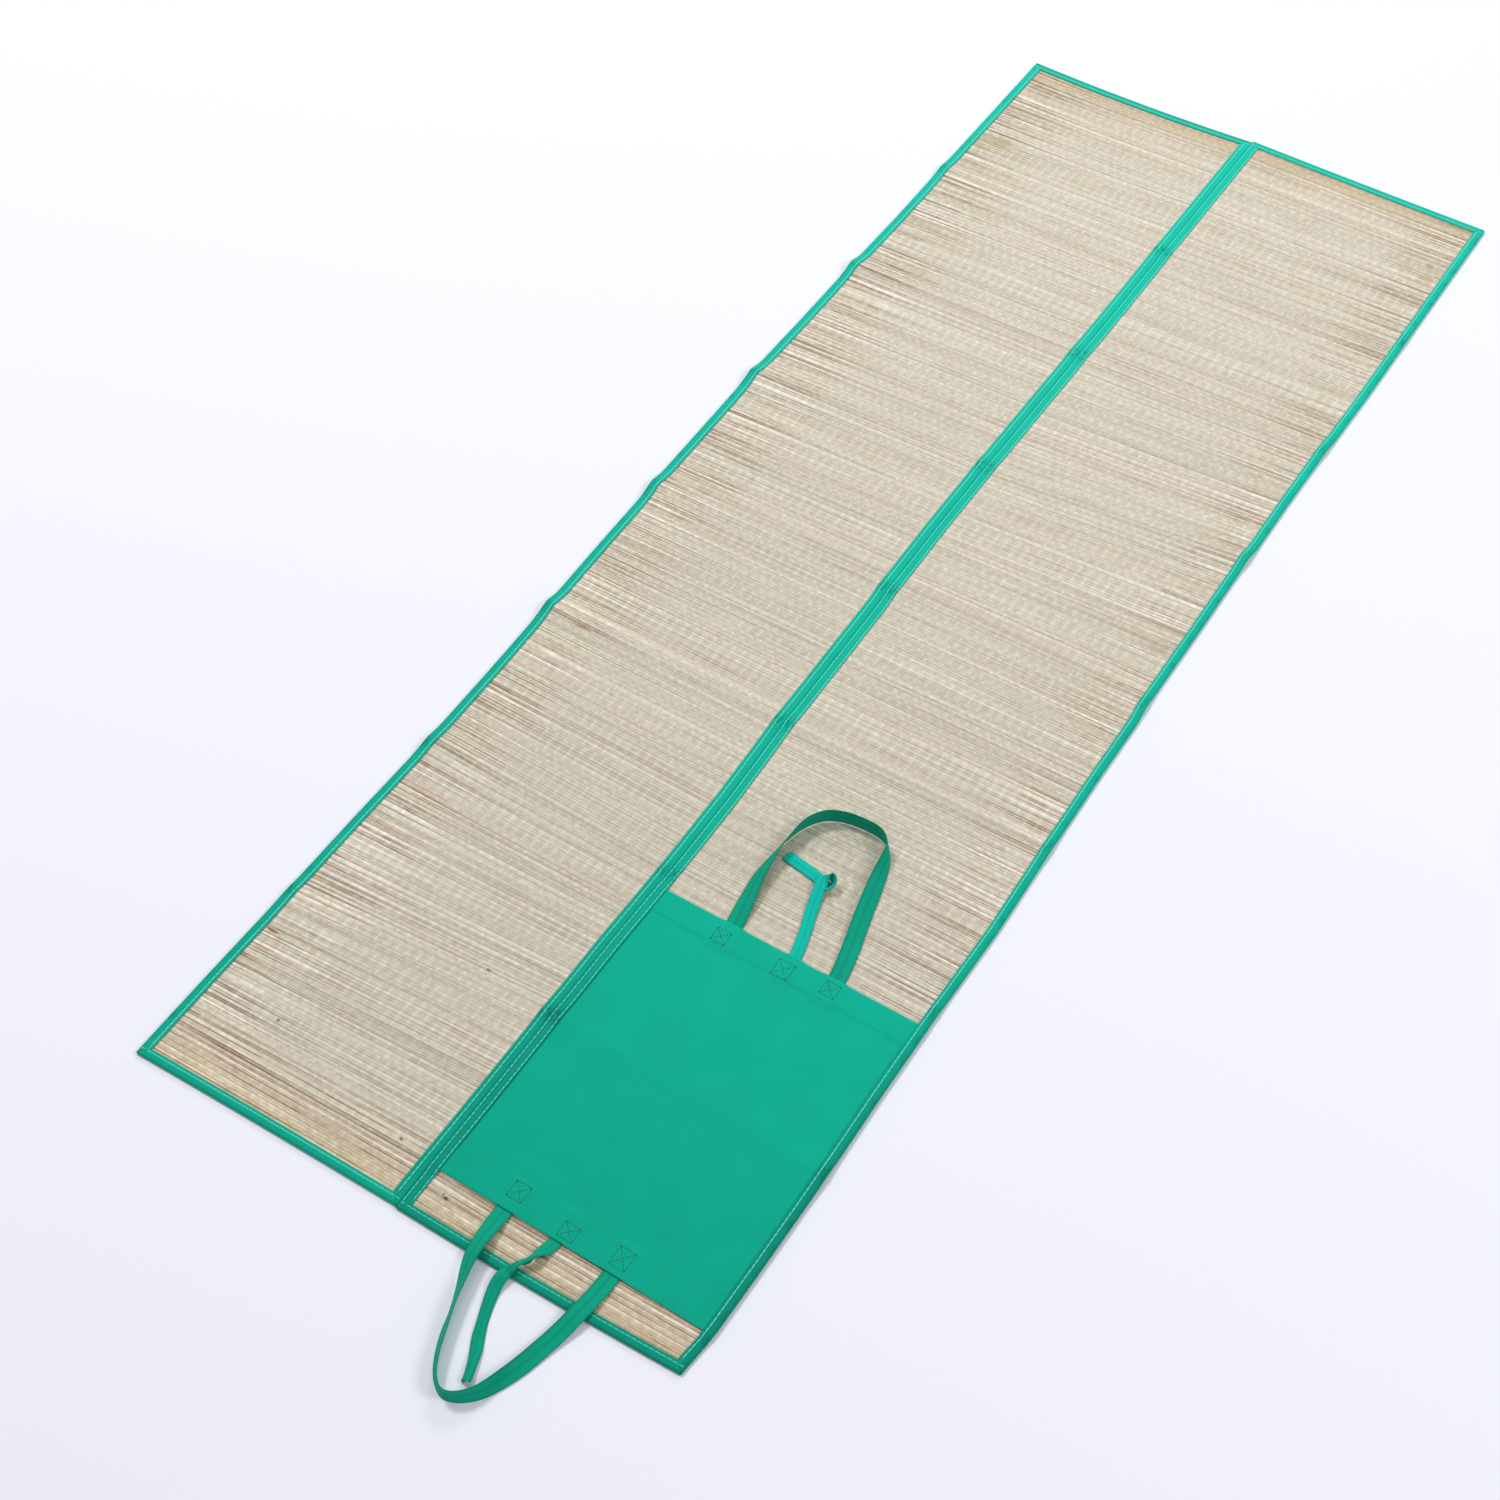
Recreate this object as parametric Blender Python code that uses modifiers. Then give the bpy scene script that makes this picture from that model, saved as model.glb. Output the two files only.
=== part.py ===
"""Straw beach mat, opened flat, with its carry panel, two handle straps and two tie straps.

Metres, +Z up. X runs across the mat and Y along it, and the mat lies on z = 0. The mat is two straw
halves, each bound with tape on its four sides, sewn side by side along the seam. Seven folds cross it
and stand up as low ridges. The panel lies on the right half, next to the near end.
"""

import math

import bmesh
import bpy
from mathutils import Vector

COLLECTION_NAME = "straw_beach_mat"

# The middle of the mat, seen from the part's origin, which is the middle of everything's footprint
MAT_MIDDLE_X = 0.0001
MAT_MIDDLE_Y = 0.06015

# Layers, from the floor up
CLOTH = 0.0010
GAP = 0.0003
STRAW = 0.0016
HEM = 0.0015
STRAW_BOTTOM = CLOTH + GAP
STRAW_TOP = STRAW_BOTTOM + STRAW
TAPE_TOP = STRAW_TOP + GAP + CLOTH
LAYER_STEP = CLOTH + GAP

# Binding tape: its width on the mat, and how far the straw and the panel stop short of its fold
TAPE_WIDTH = 0.0108
SEAM_TAPE_WIDTH = 0.0113
TAPE_FOLD_IN = 0.0012
MITRE_BACK = 0.0005
STRAW_INSET = 0.0020
PANEL_INSET = 0.0032

# The eight lengths between the folds are counted from the near end, so position 3 is the third fold.
PANELS = 8
PANEL_LENGTH = 0.217

# Where the mat's long edges and the seam run. Columns: position, left edge, seam, right edge
EDGES = (
    (0.0, -0.3020, -0.0031, 0.2990),
    (0.2, -0.3018, -0.0029, 0.3040),
    (0.5, -0.3013, -0.0022, 0.3050),
    (1.0, -0.2996, -0.0019, 0.3058),
    (1.5, -0.2990, -0.0020, 0.3043),
    (2.0, -0.2968, 0.0002, 0.3040),
    (2.5, -0.2983, -0.0002, 0.3055),
    (3.0, -0.3003, -0.0040, 0.3028),
    (3.5, -0.3024, -0.0048, 0.3008),
    (3.9, -0.3032, -0.0052, 0.3004),
    (4.0, -0.3042, -0.0066, 0.2984),
    (4.5, -0.3048, -0.0082, 0.2983),
    (5.0, -0.3060, -0.0083, 0.2973),
    (5.1, -0.3058, -0.0080, 0.2986),
    (5.5, -0.3050, -0.0073, 0.2983),
    (6.0, -0.3044, -0.0061, 0.2994),
    (6.1, -0.3040, -0.0060, 0.3008),
    (6.5, -0.3028, -0.0051, 0.3023),
    (7.0, -0.3032, -0.0048, 0.3028),
    (7.5, -0.3030, -0.0042, 0.3030),
    (8.0, -0.3028, -0.0036, 0.3032),
)

# The folds. Columns: y at the left edge, seam and right edge, then the ridge's height at each of them
FOLDS = (
    (-0.6500, -0.6300, -0.6400, 0.0015, 0.0030, 0.0020),
    (-0.4270, -0.4370, -0.4400, 0.0030, 0.0015, 0.0015),
    (-0.2135, -0.2165, -0.2150, 0.0060, 0.0030, 0.0020),
    (-0.0070, -0.0030, -0.0020, 0.0050, 0.0025, 0.0020),
    (0.1980, 0.2100, 0.2375, 0.0060, 0.0015, 0.0035),
    (0.4160, 0.4230, 0.4300, 0.0060, 0.0030, 0.0020),
    (0.6250, 0.6320, 0.6400, 0.0035, 0.0015, 0.0010),
)

# A ridge across its fold. Columns: distance from the fold, share of the ridge's height
RIDGE = ((0.0, 1.0), (0.015, 0.32), (0.035, 0.0))

# The ends of each half. Columns: half, y of the near end at its outer side, middle and seam, then of
# the far end at the same three places
ENDS = {
    "left": (-0.8690, -0.8680, -0.8684, 0.8668, 0.8645, 0.8698),
    "right": (-0.8690, -0.8708, -0.8694, 0.8685, 0.8700, 0.8718),
}

# The panel, on the right half. y of its near and far edges at the seam and at the right edge
PANEL_NEAR = (-0.8185, -0.8245)
PANEL_FAR = (-0.4540, -0.4575)
HEM_DEPTH = 0.028
PANEL_SIDE_RAMP = 0.010

# Where the straps leave the panel's hems. Columns: end of the panel, x of the middle, width
STRAP_FEET = {
    "handle_upper_left": ("far", 0.0888, 0.0178),
    "tie_upper": ("far", 0.1580, 0.0125),
    "handle_upper_right": ("far", 0.2043, 0.0178),
    "handle_lower_left": ("near", 0.0815, 0.0170),
    "tie_lower": ("near", 0.1370, 0.0125),
    "handle_lower_right": ("near", 0.1978, 0.0170),
}
STRAP_TUCK = 0.026
LIFT_SIDE = 0.001
LIFT_RAMP = 0.007
LIFT_END = 0.003

# Routes of the handles. Columns: x and y of the edge that stays low, its height over what the strap
# lies on, and the strap's roll in degrees, from 0, flat, to 90, upright
HANDLE_UPPER_WIDTH = 0.0178
HANDLE_UPPER = (
    (0.0799, -0.4820, 0.0000, 0),
    (0.0799, -0.4670, 0.0000, 0),
    (0.0799, -0.4540, 0.0000, 0),
    (0.0785, -0.4420, 0.0003, 8),
    (0.0757, -0.4210, 0.0004, 22),
    (0.0730, -0.3950, 0.0004, 38),
    (0.0748, -0.3640, 0.0004, 58),
    (0.0800, -0.3350, 0.0004, 76),
    (0.0862, -0.3170, 0.0004, 85),
    (0.0975, -0.3015, 0.0004, 89),
    (0.1150, -0.2930, 0.0004, 91),
    (0.1370, -0.2900, 0.0004, 91),
    (0.1560, -0.2915, 0.0004, 90),
    (0.1705, -0.3005, 0.0004, 80),
    (0.1800, -0.3170, 0.0004, 58),
    (0.1880, -0.3440, 0.0004, 32),
    (0.1965, -0.3790, 0.0004, 16),
    (0.2065, -0.4180, 0.0003, 6),
    (0.2120, -0.4440, 0.0002, 1),
    (0.2132, -0.4560, 0.0000, 0),
    (0.2132, -0.4680, 0.0000, 0),
    (0.2132, -0.4820, 0.0000, 0),
)
HANDLE_LOWER_WIDTH = 0.0170
HANDLE_LOWER = (
    (0.0730, -0.7930, 0.0032, 0),
    (0.0730, -0.8080, 0.0032, 0),
    (0.0730, -0.8200, 0.0032, 0),
    (0.0733, -0.8300, 0.0036, 4),
    (0.0742, -0.8450, 0.0050, 12),
    (0.0760, -0.8620, 0.0064, 22),
    (0.0785, -0.8760, 0.0060, 32),
    (0.0835, -0.8900, 0.0034, 46),
    (0.0905, -0.9060, 0.0010, 60),
    (0.0975, -0.9240, 0.0003, 68),
    (0.1045, -0.9480, 0.0003, 64),
    (0.1145, -0.9700, 0.0003, 69),
    (0.1260, -0.9850, 0.0003, 79),
    (0.1400, -0.9930, 0.0003, 85),
    (0.1550, -0.9890, 0.0003, 79),
    (0.1690, -0.9770, 0.0003, 64),
    (0.1790, -0.9600, 0.0003, 48),
    (0.1880, -0.9370, 0.0005, 30),
    (0.1955, -0.9080, 0.0014, 16),
    (0.1998, -0.8900, 0.0036, 9),
    (0.2025, -0.8760, 0.0060, 5),
    (0.2045, -0.8620, 0.0064, 3),
    (0.2060, -0.8450, 0.0050, 1),
    (0.2063, -0.8320, 0.0037, 0),
    (0.2063, -0.8210, 0.0032, 0),
    (0.2063, -0.8080, 0.0032, 0),
    (0.2063, -0.7950, 0.0032, 0),
)

# Routes of the ties. Columns: x and y of the middle line, the height of the lower edge over what the
# tie lies on, and the roll in degrees, from 0, flat, over 90, upright, to 180, turned over
TIE_WIDTH = 0.0125
TIE_UPPER = (
    (0.1580, -0.4820, 0.0000, 0),
    (0.1580, -0.4680, 0.0000, 0),
    (0.1578, -0.4545, 0.0000, 0),
    (0.1555, -0.4430, 0.0003, 0),
    (0.1500, -0.4220, 0.0005, 0),
    (0.1412, -0.3920, 0.0014, 0),
    (0.1370, -0.3780, 0.0040, 0),
    (0.1343, -0.3685, 0.0034, 24),
    (0.1343, -0.3622, 0.0020, 58),
    (0.1380, -0.3580, 0.0006, 84),
    (0.1432, -0.3590, 0.0003, 86),
    (0.1462, -0.3638, 0.0003, 76),
    (0.1452, -0.3690, 0.0003, 48),
    (0.1405, -0.3715, 0.0003, 16),
    (0.1325, -0.3698, 0.0003, 3),
    (0.1190, -0.3655, 0.0003, 0),
    (0.1030, -0.3605, 0.0005, 0),
    (0.0900, -0.3566, 0.0006, 0),
    (0.0862, -0.3555, 0.0006, 0),
)
TIE_LOWER = (
    (0.1370, -0.7940, 0.0032, 0),
    (0.1370, -0.8120, 0.0032, 0),
    (0.1370, -0.8225, 0.0032, 0),
    (0.1368, -0.8262, 0.0032, 6),
    (0.1363, -0.8310, 0.0034, 30),
    (0.1357, -0.8370, 0.0036, 56),
    (0.1352, -0.8450, 0.0040, 88),
    (0.1343, -0.8530, 0.0050, 118),
    (0.1312, -0.8600, 0.0062, 138),
    (0.1258, -0.8680, 0.0066, 152),
    (0.1212, -0.8780, 0.0054, 162),
    (0.1206, -0.8890, 0.0028, 168),
    (0.1235, -0.9030, 0.0009, 173),
    (0.1285, -0.9160, 0.0003, 175),
    (0.1340, -0.9280, 0.0003, 170),
    (0.1400, -0.9410, 0.0003, 156),
    (0.1462, -0.9550, 0.0003, 138),
    (0.1500, -0.9660, 0.0003, 128),
    (0.1515, -0.9720, 0.0003, 124),
)

# How finely positions are found, and curved pieces are cut
POSITION_HALVINGS = 30
SIDE_INSETS = 4
STRAP_STEPS = 4
STRAP_CELLS = 2
END_STEPS = 6

# Material name: colour, roughness
STRAW_FINISH = ("straw", (0.62, 0.55, 0.42, 1.0), 0.75)
TAPE_FINISH = ("binding_green", (0.01, 0.42, 0.30, 1.0), 0.80)
PANEL_FINISH = ("panel_green", (0.01, 0.45, 0.30, 1.0), 0.80)
STRAP_FINISH = ("strap_green", (0.01, 0.38, 0.26, 1.0), 0.80)


def clear_scene():
    for old in list(bpy.data.objects):
        bpy.data.objects.remove(old, do_unlink=True)


def blend(low, high, share):
    return low + (high - low) * share


def read_table(table, position, column):
    """A table's column at a position, with straight runs between its rows."""
    if position <= table[0][0]:
        return table[0][column]
    for low, high in zip(table, table[1:]):
        if position <= high[0]:
            return blend(low[column], high[column], (position - low[0]) / (high[0] - low[0]))
    return table[-1][column]


def across(x, at_left, at_seam, at_right):
    """A value that runs straight from the left edge to the seam and on to the right edge."""
    left, seam, right = EDGES[0][1:]
    if x < seam:
        return blend(at_left, at_seam, (x - left) / (seam - left))
    return blend(at_seam, at_right, (x - seam) / (right - seam))


def end_line(half, far, x):
    """y of a half's near or far end, as the arc through its three given points."""
    outer, middle, seam = ENDS[half][3:] if far else ENDS[half][:3]
    width = abs(EDGES[0][3] - EDGES[0][2])
    edge = EDGES[0][1] if half == "left" else EDGES[0][3]
    share = abs(x - edge) / width
    return blend(outer, seam, share) + (2 * middle - outer - seam) * 2 * share * (1 - share)


def row_line(half, position, x):
    """y of the line across the mat at a position counted in panels."""
    lower = min(int(position), PANELS - 1)

    def line(index):
        if index == 0:
            return end_line(half, False, x)
        if index == PANELS:
            return end_line(half, True, x)
        return across(x, *FOLDS[index - 1][:3])

    return blend(line(lower), line(lower + 1), position - lower)


def ridge_height(x, y):
    """How far the mat is lifted off the floor by its folds."""
    height = 0.0
    for fold in FOLDS:
        share = read_table(RIDGE, abs(y - across(x, *fold[:3])), 1)
        height += share * across(x, *fold[3:])
    return height


def lay(x, y, z):
    """A point of the mat, lifted by the folds and moved to the part's frame."""
    return Vector((x + MAT_MIDDLE_X, y + MAT_MIDDLE_Y, z + ridge_height(x, y)))


def side_x(half, side, position, inset):
    """x at a distance in from a half's outer or seam side."""
    column = 2 if side == "seam" else (1 if half == "left" else 3)
    inward = 1 if (half == "left") == (side == "outer") else -1
    edge = read_table(EDGES, position, column)
    if side == "seam":
        edge += inward * GAP / 2
    return edge + inward * inset


def positions(extra=()):
    """Rows along the mat: the ends, the middle of each panel, and five at each fold."""
    rows = {0.0, 0.2, float(PANELS)}
    rows.update(index + 0.5 for index in range(PANELS))
    for index in range(1, PANELS):
        for distance, _ in RIDGE:
            rows.update((index - distance / PANEL_LENGTH, index + distance / PANEL_LENGTH))
    return sorted(rows.union(extra))


def finish_material(name, colour, roughness):
    if name in bpy.data.materials:
        return bpy.data.materials[name]
    material = bpy.data.materials.new(name)
    material.use_nodes = True
    shader = material.node_tree.nodes["Principled BSDF"]
    shader.inputs["Base Color"].default_value = colour
    shader.inputs["Roughness"].default_value = roughness
    shader.inputs["Metallic"].default_value = 0.0
    return material


def sheet_of_rows(name, rows, finish, collection, thickness=CLOTH, weights=None):
    """A sheet through rows of points, thickened evenly to both sides."""
    count_along = len(rows)
    count_across = len(rows[0])
    mesh = bpy.data.meshes.new(name)
    bm = bmesh.new()
    bmesh.ops.create_grid(bm, x_segments=count_across - 1, y_segments=count_along - 1, size=0.5)
    bm.verts.ensure_lookup_table()
    for index, vertex in enumerate(bm.verts):
        vertex.co = rows[index // count_across][index % count_across]
    bm.normal_update()
    bm.to_mesh(mesh)
    bm.free()
    mesh.materials.append(finish_material(*finish))
    sheet = bpy.data.objects.new(name, mesh)
    collection.objects.link(sheet)
    solidify = sheet.modifiers.new("thickness", "SOLIDIFY")
    solidify.thickness = thickness
    solidify.offset = 0.0
    solidify.use_even_offset = True
    solidify.use_quality_normals = True
    if weights is not None:
        group = sheet.vertex_groups.new(name="thickness")
        for index in range(count_along * count_across):
            group.add([index], weights[index // count_across], "REPLACE")
        solidify.vertex_group = group.name
    return sheet


def build_straw(half, collection):
    """One straw half, between the floor flange and the top flange of its bindings."""
    height = (STRAW_BOTTOM + STRAW_TOP) / 2
    rows = []
    for position in positions():
        outer = side_x(half, "outer", position, STRAW_INSET)
        inner = side_x(half, "seam", position, STRAW_INSET)
        row = []
        for index in range(SIDE_INSETS + 1):
            x = blend(outer, inner, index / SIDE_INSETS)
            y = row_line(half, position, x)
            if position == 0.0:
                y += STRAW_INSET
            if position == PANELS:
                y -= STRAW_INSET
            row.append(lay(x, y, height))
        rows.append(row)
    return sheet_of_rows("straw_" + half, rows, STRAW_FINISH, collection, thickness=STRAW)


def tape_section(width, lift):
    """A binding's section, from its floor flange round the fold to its top flange.

    Columns: distance in from the fold, height, distance back from the mitre.
    """
    low = CLOTH / 2
    high = TAPE_TOP - CLOTH / 2 + lift
    return (
        (width, low, GAP / 2),
        (TAPE_FOLD_IN, low, MITRE_BACK),
        (CLOTH / 2, (low + high) / 2, MITRE_BACK + CLOTH / 4),
        (TAPE_FOLD_IN, high, MITRE_BACK),
        (width, high, GAP / 2),
    )


def panel_edge(edge, x):
    """y of the panel's near or far edge."""
    left, right = EDGES[0][2:]
    return blend(edge[0], edge[1], (x - left) / (right - left))


def panel_lift(half, x, y):
    """How far the top flange rises over the panel that is caught in it."""
    if half == "left":
        return 0.0
    outside = max(panel_edge(PANEL_NEAR, x) - y, y - panel_edge(PANEL_FAR, x), 0.0)
    return (HEM + GAP) * max(0.0, 1 - max(0.0, outside - GAP) / PANEL_SIDE_RAMP)


def position_of(half, x, y):
    """The position, counted in panels, of a point of the mat."""
    low, high = 0.0, float(PANELS)
    for _ in range(POSITION_HALVINGS):
        middle = (low + high) / 2
        if row_line(half, middle, x) < y:
            low = middle
        else:
            high = middle
    return low


def build_long_binding(half, side, collection):
    """The tape folded over a half's outer side or its seam side, mitred at both ends."""
    width = SEAM_TAPE_WIDTH if side == "seam" else TAPE_WIDTH
    extra = []
    if half == "right":
        x = side_x(half, side, 1.5, 0.0)
        near, far = panel_edge(PANEL_NEAR, x), panel_edge(PANEL_FAR, x)
        for y in (near - GAP - PANEL_SIDE_RAMP, near - GAP, far + GAP, far + GAP + PANEL_SIDE_RAMP):
            extra.append(position_of(half, x, y))
    rows = []
    for position in positions(extra):
        edge = side_x(half, side, position, 0.0)
        lift = panel_lift(half, edge, row_line(half, position, edge))
        row = []
        for inset, height, back in tape_section(width, lift):
            x = side_x(half, side, position, inset)
            y = row_line(half, position, x)
            if position == 0.0:
                y += inset + back
            if position == PANELS:
                y -= inset + back
            row.append(lay(x, y, height))
        rows.append(row)
    if (half == "left") == (side == "outer"):
        rows = [row[::-1] for row in rows]
    return sheet_of_rows("binding_{}_{}".format(half, side), rows, TAPE_FINISH, collection)


def build_end_binding(half, end, collection):
    """The tape folded over a half's near or far end, mitred at both ends."""
    far = end == "far"
    inward = -1 if far else 1
    position = float(PANELS) if far else 0.0
    rows = []
    for index in range(END_STEPS + 1):
        share = index / END_STEPS
        row = []
        for inset, height, back in tape_section(TAPE_WIDTH, 0.0):
            outer = side_x(half, "outer", position, inset + back)
            inner = side_x(half, "seam", position, inset + back)
            x = blend(outer, inner, share)
            row.append(lay(x, end_line(half, far, x) + inward * inset, height))
        rows.append(row)
    if (half == "left") == far:
        rows = [row[::-1] for row in rows]
    return sheet_of_rows("binding_{}_{}".format(half, end), rows, TAPE_FINISH, collection)


def strap_lift(x, y):
    """How far the panel rises over the ends of the straps that are sewn under its hems."""
    lift = 0.0
    for end, middle, width in STRAP_FEET.values():
        sideways = abs(x - middle) - width / 2 - LIFT_SIDE
        if end == "far":
            inward = panel_edge(PANEL_FAR, x) - y
        else:
            inward = y - panel_edge(PANEL_NEAR, x)
        beyond = inward - STRAP_TUCK - LIFT_END
        share = (1 - max(0.0, sideways) / LIFT_RAMP) * (1 - max(0.0, beyond) / LIFT_RAMP)
        if sideways < LIFT_RAMP and beyond < LIFT_RAMP:
            lift = max(lift, LAYER_STEP * share)
    return lift


def build_panel(collection):
    """The carry panel, thicker along its two hems and raised over the strap ends."""
    columns = {side_x("right", "seam", 1.0, PANEL_INSET), side_x("right", "outer", 1.0, PANEL_INSET)}
    for _, middle, width in STRAP_FEET.values():
        for reach in (width / 2 + LIFT_SIDE, width / 2 + LIFT_SIDE + LIFT_RAMP):
            columns.update((middle - reach, middle + reach))
    columns = sorted(columns)
    left, right = columns[0], columns[-1]
    lift_stop = STRAP_TUCK + LIFT_END
    inner_stop = lift_stop + LIFT_RAMP

    def near(distance):
        return lambda x: panel_edge(PANEL_NEAR, x) + distance

    def far(distance):
        return lambda x: panel_edge(PANEL_FAR, x) - distance

    def fold(distance):
        return lambda x: across(x, *FOLDS[0][:3]) + distance

    ridge_half, ridge_reach = RIDGE[1][0], RIDGE[2][0]
    lines = (
        (near(0.0), 1.0),
        (near(HEM_DEPTH), 1.0),
        (near(lift_stop), CLOTH / HEM),
        (near(inner_stop), CLOTH / HEM),
        (fold(-ridge_reach), CLOTH / HEM),
        (fold(-ridge_half), CLOTH / HEM),
        (fold(0.0), CLOTH / HEM),
        (fold(ridge_half), CLOTH / HEM),
        (fold(ridge_reach), CLOTH / HEM),
        (far(inner_stop), CLOTH / HEM),
        (far(lift_stop), CLOTH / HEM),
        (far(HEM_DEPTH), 1.0),
        (far(RIDGE[1][0]), 1.0),
        (far(0.0), 1.0),
    )
    rows = []
    for line, thickness in lines:
        middle_height = STRAW_TOP + GAP + HEM * thickness / 2
        row = []
        for x in columns:
            y = line(x)
            position = position_of("right", x, y)
            if x == left:
                x = side_x("right", "seam", position, PANEL_INSET)
            if x == right:
                x = side_x("right", "outer", position, PANEL_INSET)
            row.append(lay(x, y, middle_height + strap_lift(x, y)))
        rows.append(row)
    weights = [thickness for _, thickness in lines]
    return sheet_of_rows("carry_panel", rows, PANEL_FINISH, collection, thickness=HEM, weights=weights)


def smooth_route(table, steps):
    """Points of a smooth curve through a table's rows, with the other columns carried along."""
    route = []
    for index in range(len(table) - 1):
        before = table[max(index - 1, 0)]
        start, stop = table[index], table[index + 1]
        after = table[min(index + 2, len(table) - 1)]
        for step in range(steps):
            t = step / steps
            weights = (
                -0.5 * t + t * t - 0.5 * t ** 3,
                1 - 2.5 * t * t + 1.5 * t ** 3,
                0.5 * t + 2 * t * t - 1.5 * t ** 3,
                -0.5 * t * t + 0.5 * t ** 3,
            )
            corners = (before, start, stop, after)
            route.append(tuple(
                sum(weight * corner[column] for weight, corner in zip(weights, corners))
                for column in range(len(start))
            ))
    route.append(tuple(float(value) for value in table[-1]))
    return route


def strap_rows(route, width, low_share, turn):
    """Rows of points across a strap that rolls about its route.

    low_share is the place of the route across the strap: 0 at one edge, 0.5 at its middle. turn is 1
    where the strap reaches to the right of its route, and -1 where it reaches to the left.
    """
    rows = []
    for index, (x, y, z, roll) in enumerate(route):
        before = route[max(index - 1, 0)]
        after = route[min(index + 1, len(route) - 1)]
        forward = Vector((after[0] - before[0], after[1] - before[1], after[2] - before[2])).normalized()
        sideways = (forward.cross(Vector((0, 0, 1))) * turn).normalized()
        upward = forward.cross(sideways) * -turn
        if upward.z < 0:
            upward = -upward
        angle = math.radians(roll)
        reach = sideways * math.cos(angle) + upward * math.sin(angle)
        row = []
        for cell in range(STRAP_CELLS + 1):
            share = cell / STRAP_CELLS - low_share
            point = Vector((x, y, z)) + reach * (width * share)
            row.append(lay(point.x, point.y, point.z))
        rows.append(row)
    return rows


def build_handle(name, table, width, base, turn, collection):
    """A handle strap, which keeps one edge low along its route."""
    route = [(x, y, z + base, roll) for x, y, z, roll in smooth_route(table, STRAP_STEPS)]
    return sheet_of_rows(name, strap_rows(route, width, 0.0, turn), STRAP_FINISH, collection)


def build_tie(name, table, base, turn, collection):
    """A tie strap, which rolls about its middle line with its lower edge kept at its height."""
    route = []
    for x, y, z, roll in smooth_route(table, STRAP_STEPS):
        tilt = TIE_WIDTH / 2 * abs(math.sin(math.radians(roll)))
        route.append((x, y, z + base + tilt, roll))
    return sheet_of_rows(name, strap_rows(route, TIE_WIDTH, 0.5, turn), STRAP_FINISH, collection)


def build_mat():
    clear_scene()
    collection = bpy.data.collections.new(COLLECTION_NAME)
    bpy.context.scene.collection.children.link(collection)
    for half in ("left", "right"):
        build_straw(half, collection)
        for side in ("outer", "seam"):
            build_long_binding(half, side, collection)
        for end in ("near", "far"):
            build_end_binding(half, end, collection)
    build_panel(collection)
    on_straw = STRAW_TOP + GAP + CLOTH / 2
    on_floor = CLOTH / 2
    build_handle("handle_upper", HANDLE_UPPER, HANDLE_UPPER_WIDTH, on_straw, 1, collection)
    build_handle("handle_lower", HANDLE_LOWER, HANDLE_LOWER_WIDTH, on_floor, -1, collection)
    build_tie("tie_upper", TIE_UPPER, on_straw, 1, collection)
    build_tie("tie_lower", TIE_LOWER, on_floor, -1, collection)


build_mat()
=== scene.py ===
"""Looks of the straw beach mat: woven reeds, sewn binding tapes, carry panel, handle and tie straps.

Metres, +Z up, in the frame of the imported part. X runs across the mat and Y along it. Shapes are worked
out on a mat whose middle is the origin, and lay() moves them to the part's frame.
"""

import math
import random

import bpy
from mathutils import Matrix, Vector, noise


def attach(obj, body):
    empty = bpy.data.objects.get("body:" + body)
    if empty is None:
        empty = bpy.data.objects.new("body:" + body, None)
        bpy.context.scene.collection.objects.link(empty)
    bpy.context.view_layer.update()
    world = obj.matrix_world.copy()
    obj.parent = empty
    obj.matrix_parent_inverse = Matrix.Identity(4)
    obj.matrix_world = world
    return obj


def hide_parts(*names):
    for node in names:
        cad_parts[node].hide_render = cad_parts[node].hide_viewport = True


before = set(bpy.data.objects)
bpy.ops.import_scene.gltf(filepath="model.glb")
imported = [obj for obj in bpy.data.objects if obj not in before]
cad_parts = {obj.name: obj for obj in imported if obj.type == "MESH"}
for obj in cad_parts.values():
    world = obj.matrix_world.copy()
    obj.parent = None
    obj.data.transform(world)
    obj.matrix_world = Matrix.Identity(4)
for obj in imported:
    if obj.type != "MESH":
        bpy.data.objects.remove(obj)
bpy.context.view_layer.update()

# The middle of the mat, seen from the part's origin
MAT_MIDDLE_X = 0.0001
MAT_MIDDLE_Y = 0.06015

# Layers, from the floor up
MM = 0.001
CLOTH = 0.0010
CLOTH_SKIN = 0.0009
GAP = 0.0003
STRAW = 0.0016
HEM = 0.0015
STRAW_BOTTOM = CLOTH + GAP
STRAW_TOP = STRAW_BOTTOM + STRAW
TAPE_TOP = STRAW_TOP + GAP + CLOTH
LAYER_STEP = CLOTH + GAP

# Binding tape: its width on the mat, and how far the straw and the panel stop short of its fold
TAPE_WIDTHS = {
    ("left", "outer"): 0.0108,
    ("left", "seam"): 0.0112,
    ("right", "seam"): 0.0109,
    ("right", "outer"): 0.0101,
}
END_TAPE_WIDTH = 0.0101
END_TAPE_STEPS = 60
MITRE_BACK = 0.0002
MITRE_REACH = 0.043
STRAW_INSET = 0.0020
PANEL_INSET = 0.0032

# The eight lengths between the folds are counted from the near end, so position 3 is the third fold.
PANELS = 8
HALVINGS = 24
PANEL_LENGTH = 0.217

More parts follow.
